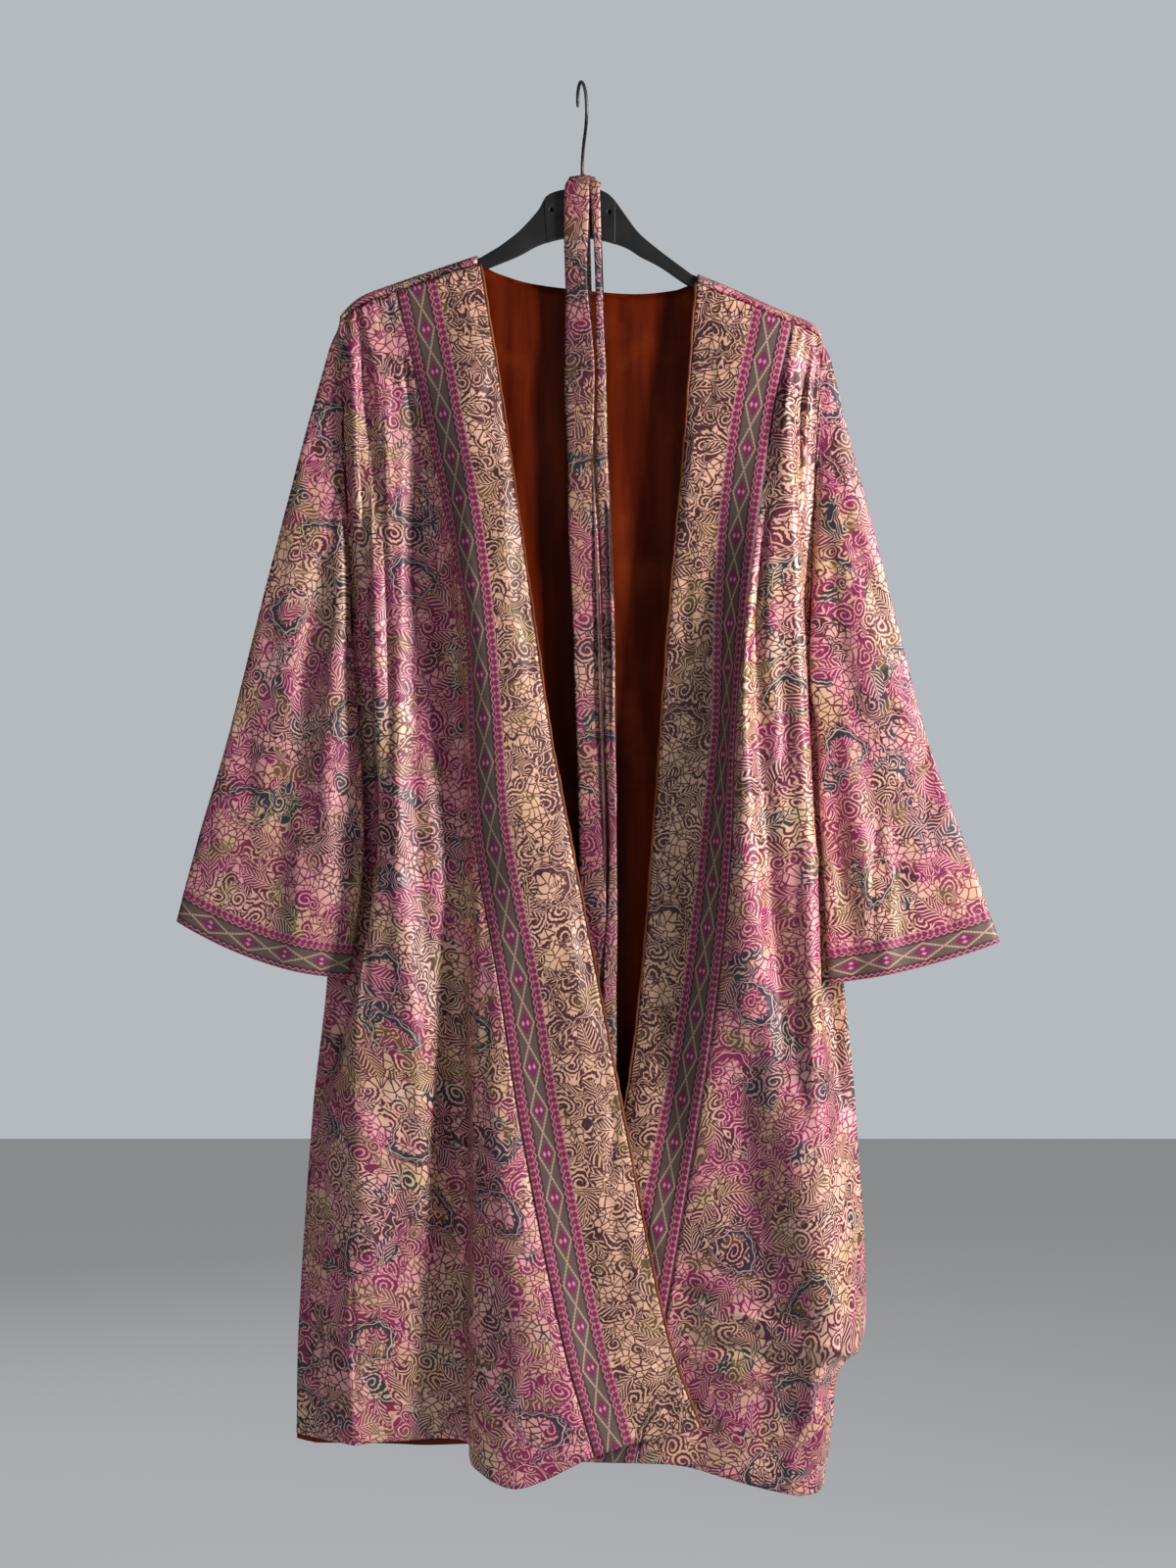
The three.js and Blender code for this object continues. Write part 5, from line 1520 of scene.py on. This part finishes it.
def hole(x, drop, radius=HOLE_RADIUS):
    """The corners of a round hole."""
    turn = np.linspace(0, 2 * np.pi, 25)[:-1]
    return np.stack([x + radius * np.cos(turn), -drop + radius * np.sin(turn)], axis=1)


holes = [hole(*place) for place in PLATE_HOLES]
outline = hanger_outline()
hanger = plate("hanger_moulding", [outline, *holes], ARM_DEPTH, 1.2)
seat(hanger, "hanger_body")
in_middle = (np.abs(outline[:, 0] - BOSS_MIDDLE) < BOSS_HALF) & (outline[:, 1] > -BOSS_FOOT)
boss = plate("hanger_boss", [outline[in_middle] * (BOSS_SHARE, 1), *holes],
             ARM_DEPTH + 2 * BOSS_RISE, 1.0)
web = plate("hanger_hole_web", [hole(*place, HOLE_RADIUS + 1) for place in PLATE_HOLES],
            WEB_DEPTH, 0.2)
for moulded in (boss, web):
    ride_along(moulded)


# %% [markdown]
# ## The hook
# One wire: it rises out of the hanger, leans out to the side of the bend, goes over and ends
# in a short drop. It is turned a little from square to the arms.

# %% The hook
HOOK_WIRE, HOOK_RADIUS, HOOK_TURN = 3.2, 18, 12
HOOK_STEM = [(0, 112), (0, 98), (0, 84), (1, 70), (5.5, 56), (13, 42), (18.5, 29)]
HOOK_TIP = (0.8, 7)              # inwards from the bend's end, and down


def hook_route():
    """The middle of the wire in the plane of the bend, as if that were square to x."""
    bend = HOOK_RADIUS + HOOK_WIRE / 2
    turn = np.linspace(0, np.pi, 10)
    arc = np.stack([bend * np.cos(turn), HOOK_RADIUS - bend * np.sin(turn)], axis=1)
    rows = np.concatenate([HOOK_STEM, arc, [(-bend + HOOK_TIP[0], HOOK_RADIUS + HOOK_TIP[1])]])
    flat = np.stack([rows[:, 0] * 0, rows[:, 0], -rows[:, 1]], axis=1)[:, None, :]
    return over_folds(flat, np.linspace(0, len(rows) - 1, 150))[0]


route = hook_route()
turn = -math.radians(HOOK_TURN)
side_way = np.array([math.cos(turn), math.sin(turn), 0])
route = route[:, [1]] * np.array([-math.sin(turn), math.cos(turn), 0]) + route * (0, 0, 1)
end = np.linspace(0, len(route) - 1, len(route))
radius = HOOK_WIRE / 2 * (1 - 0.35 * ease((end - (len(route) - 5)) / 4))
wire = tube(route, np.repeat([side_way], len(route), axis=0), radius, radius, 16)
closed_piece("hook_wire", "hanger_hook", wire, STEEL)


# %% [markdown]
# ## The room
# A pale floor well below the hem catches a soft shadow.

# %% The room
FLOOR_HALF, FLOOR_DROP = 6, 1.62         # metres


def pale_floor():
    bm = bmesh.new()
    bmesh.ops.create_grid(bm, x_segments=2, y_segments=2, size=FLOOR_HALF)
    bmesh.ops.translate(bm, verts=bm.verts, vec=(0, 0, -FLOOR_DROP))
    mesh = bpy.data.meshes.new("floor")
    bm.to_mesh(mesh)
    bm.free()
    floor = bpy.data.objects.new("floor", mesh)
    bpy.context.collection.objects.link(floor)
    f = Finish("floor", Roughness=0.8, Emission_Strength=0.22, Emission_Color=(0.97, 0.98, 1, 1),
               Base_Color=paint(0.64, 0.66, 0.68))
    mesh.materials.append(f.material)
    floor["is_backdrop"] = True


pale_floor()


# %% [markdown]
# ## Sizes before and after
# The plain model's box and the dressed one's are written side by side, so that they can be
# compared: cloth may stand a few millimetres proud, and no more.

# %% Sizes before and after
def corners(box):
    return [list(map(float, corner)) for corner in box]


{"cad": corners(CAD_BOX), "visual": corners(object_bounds())}
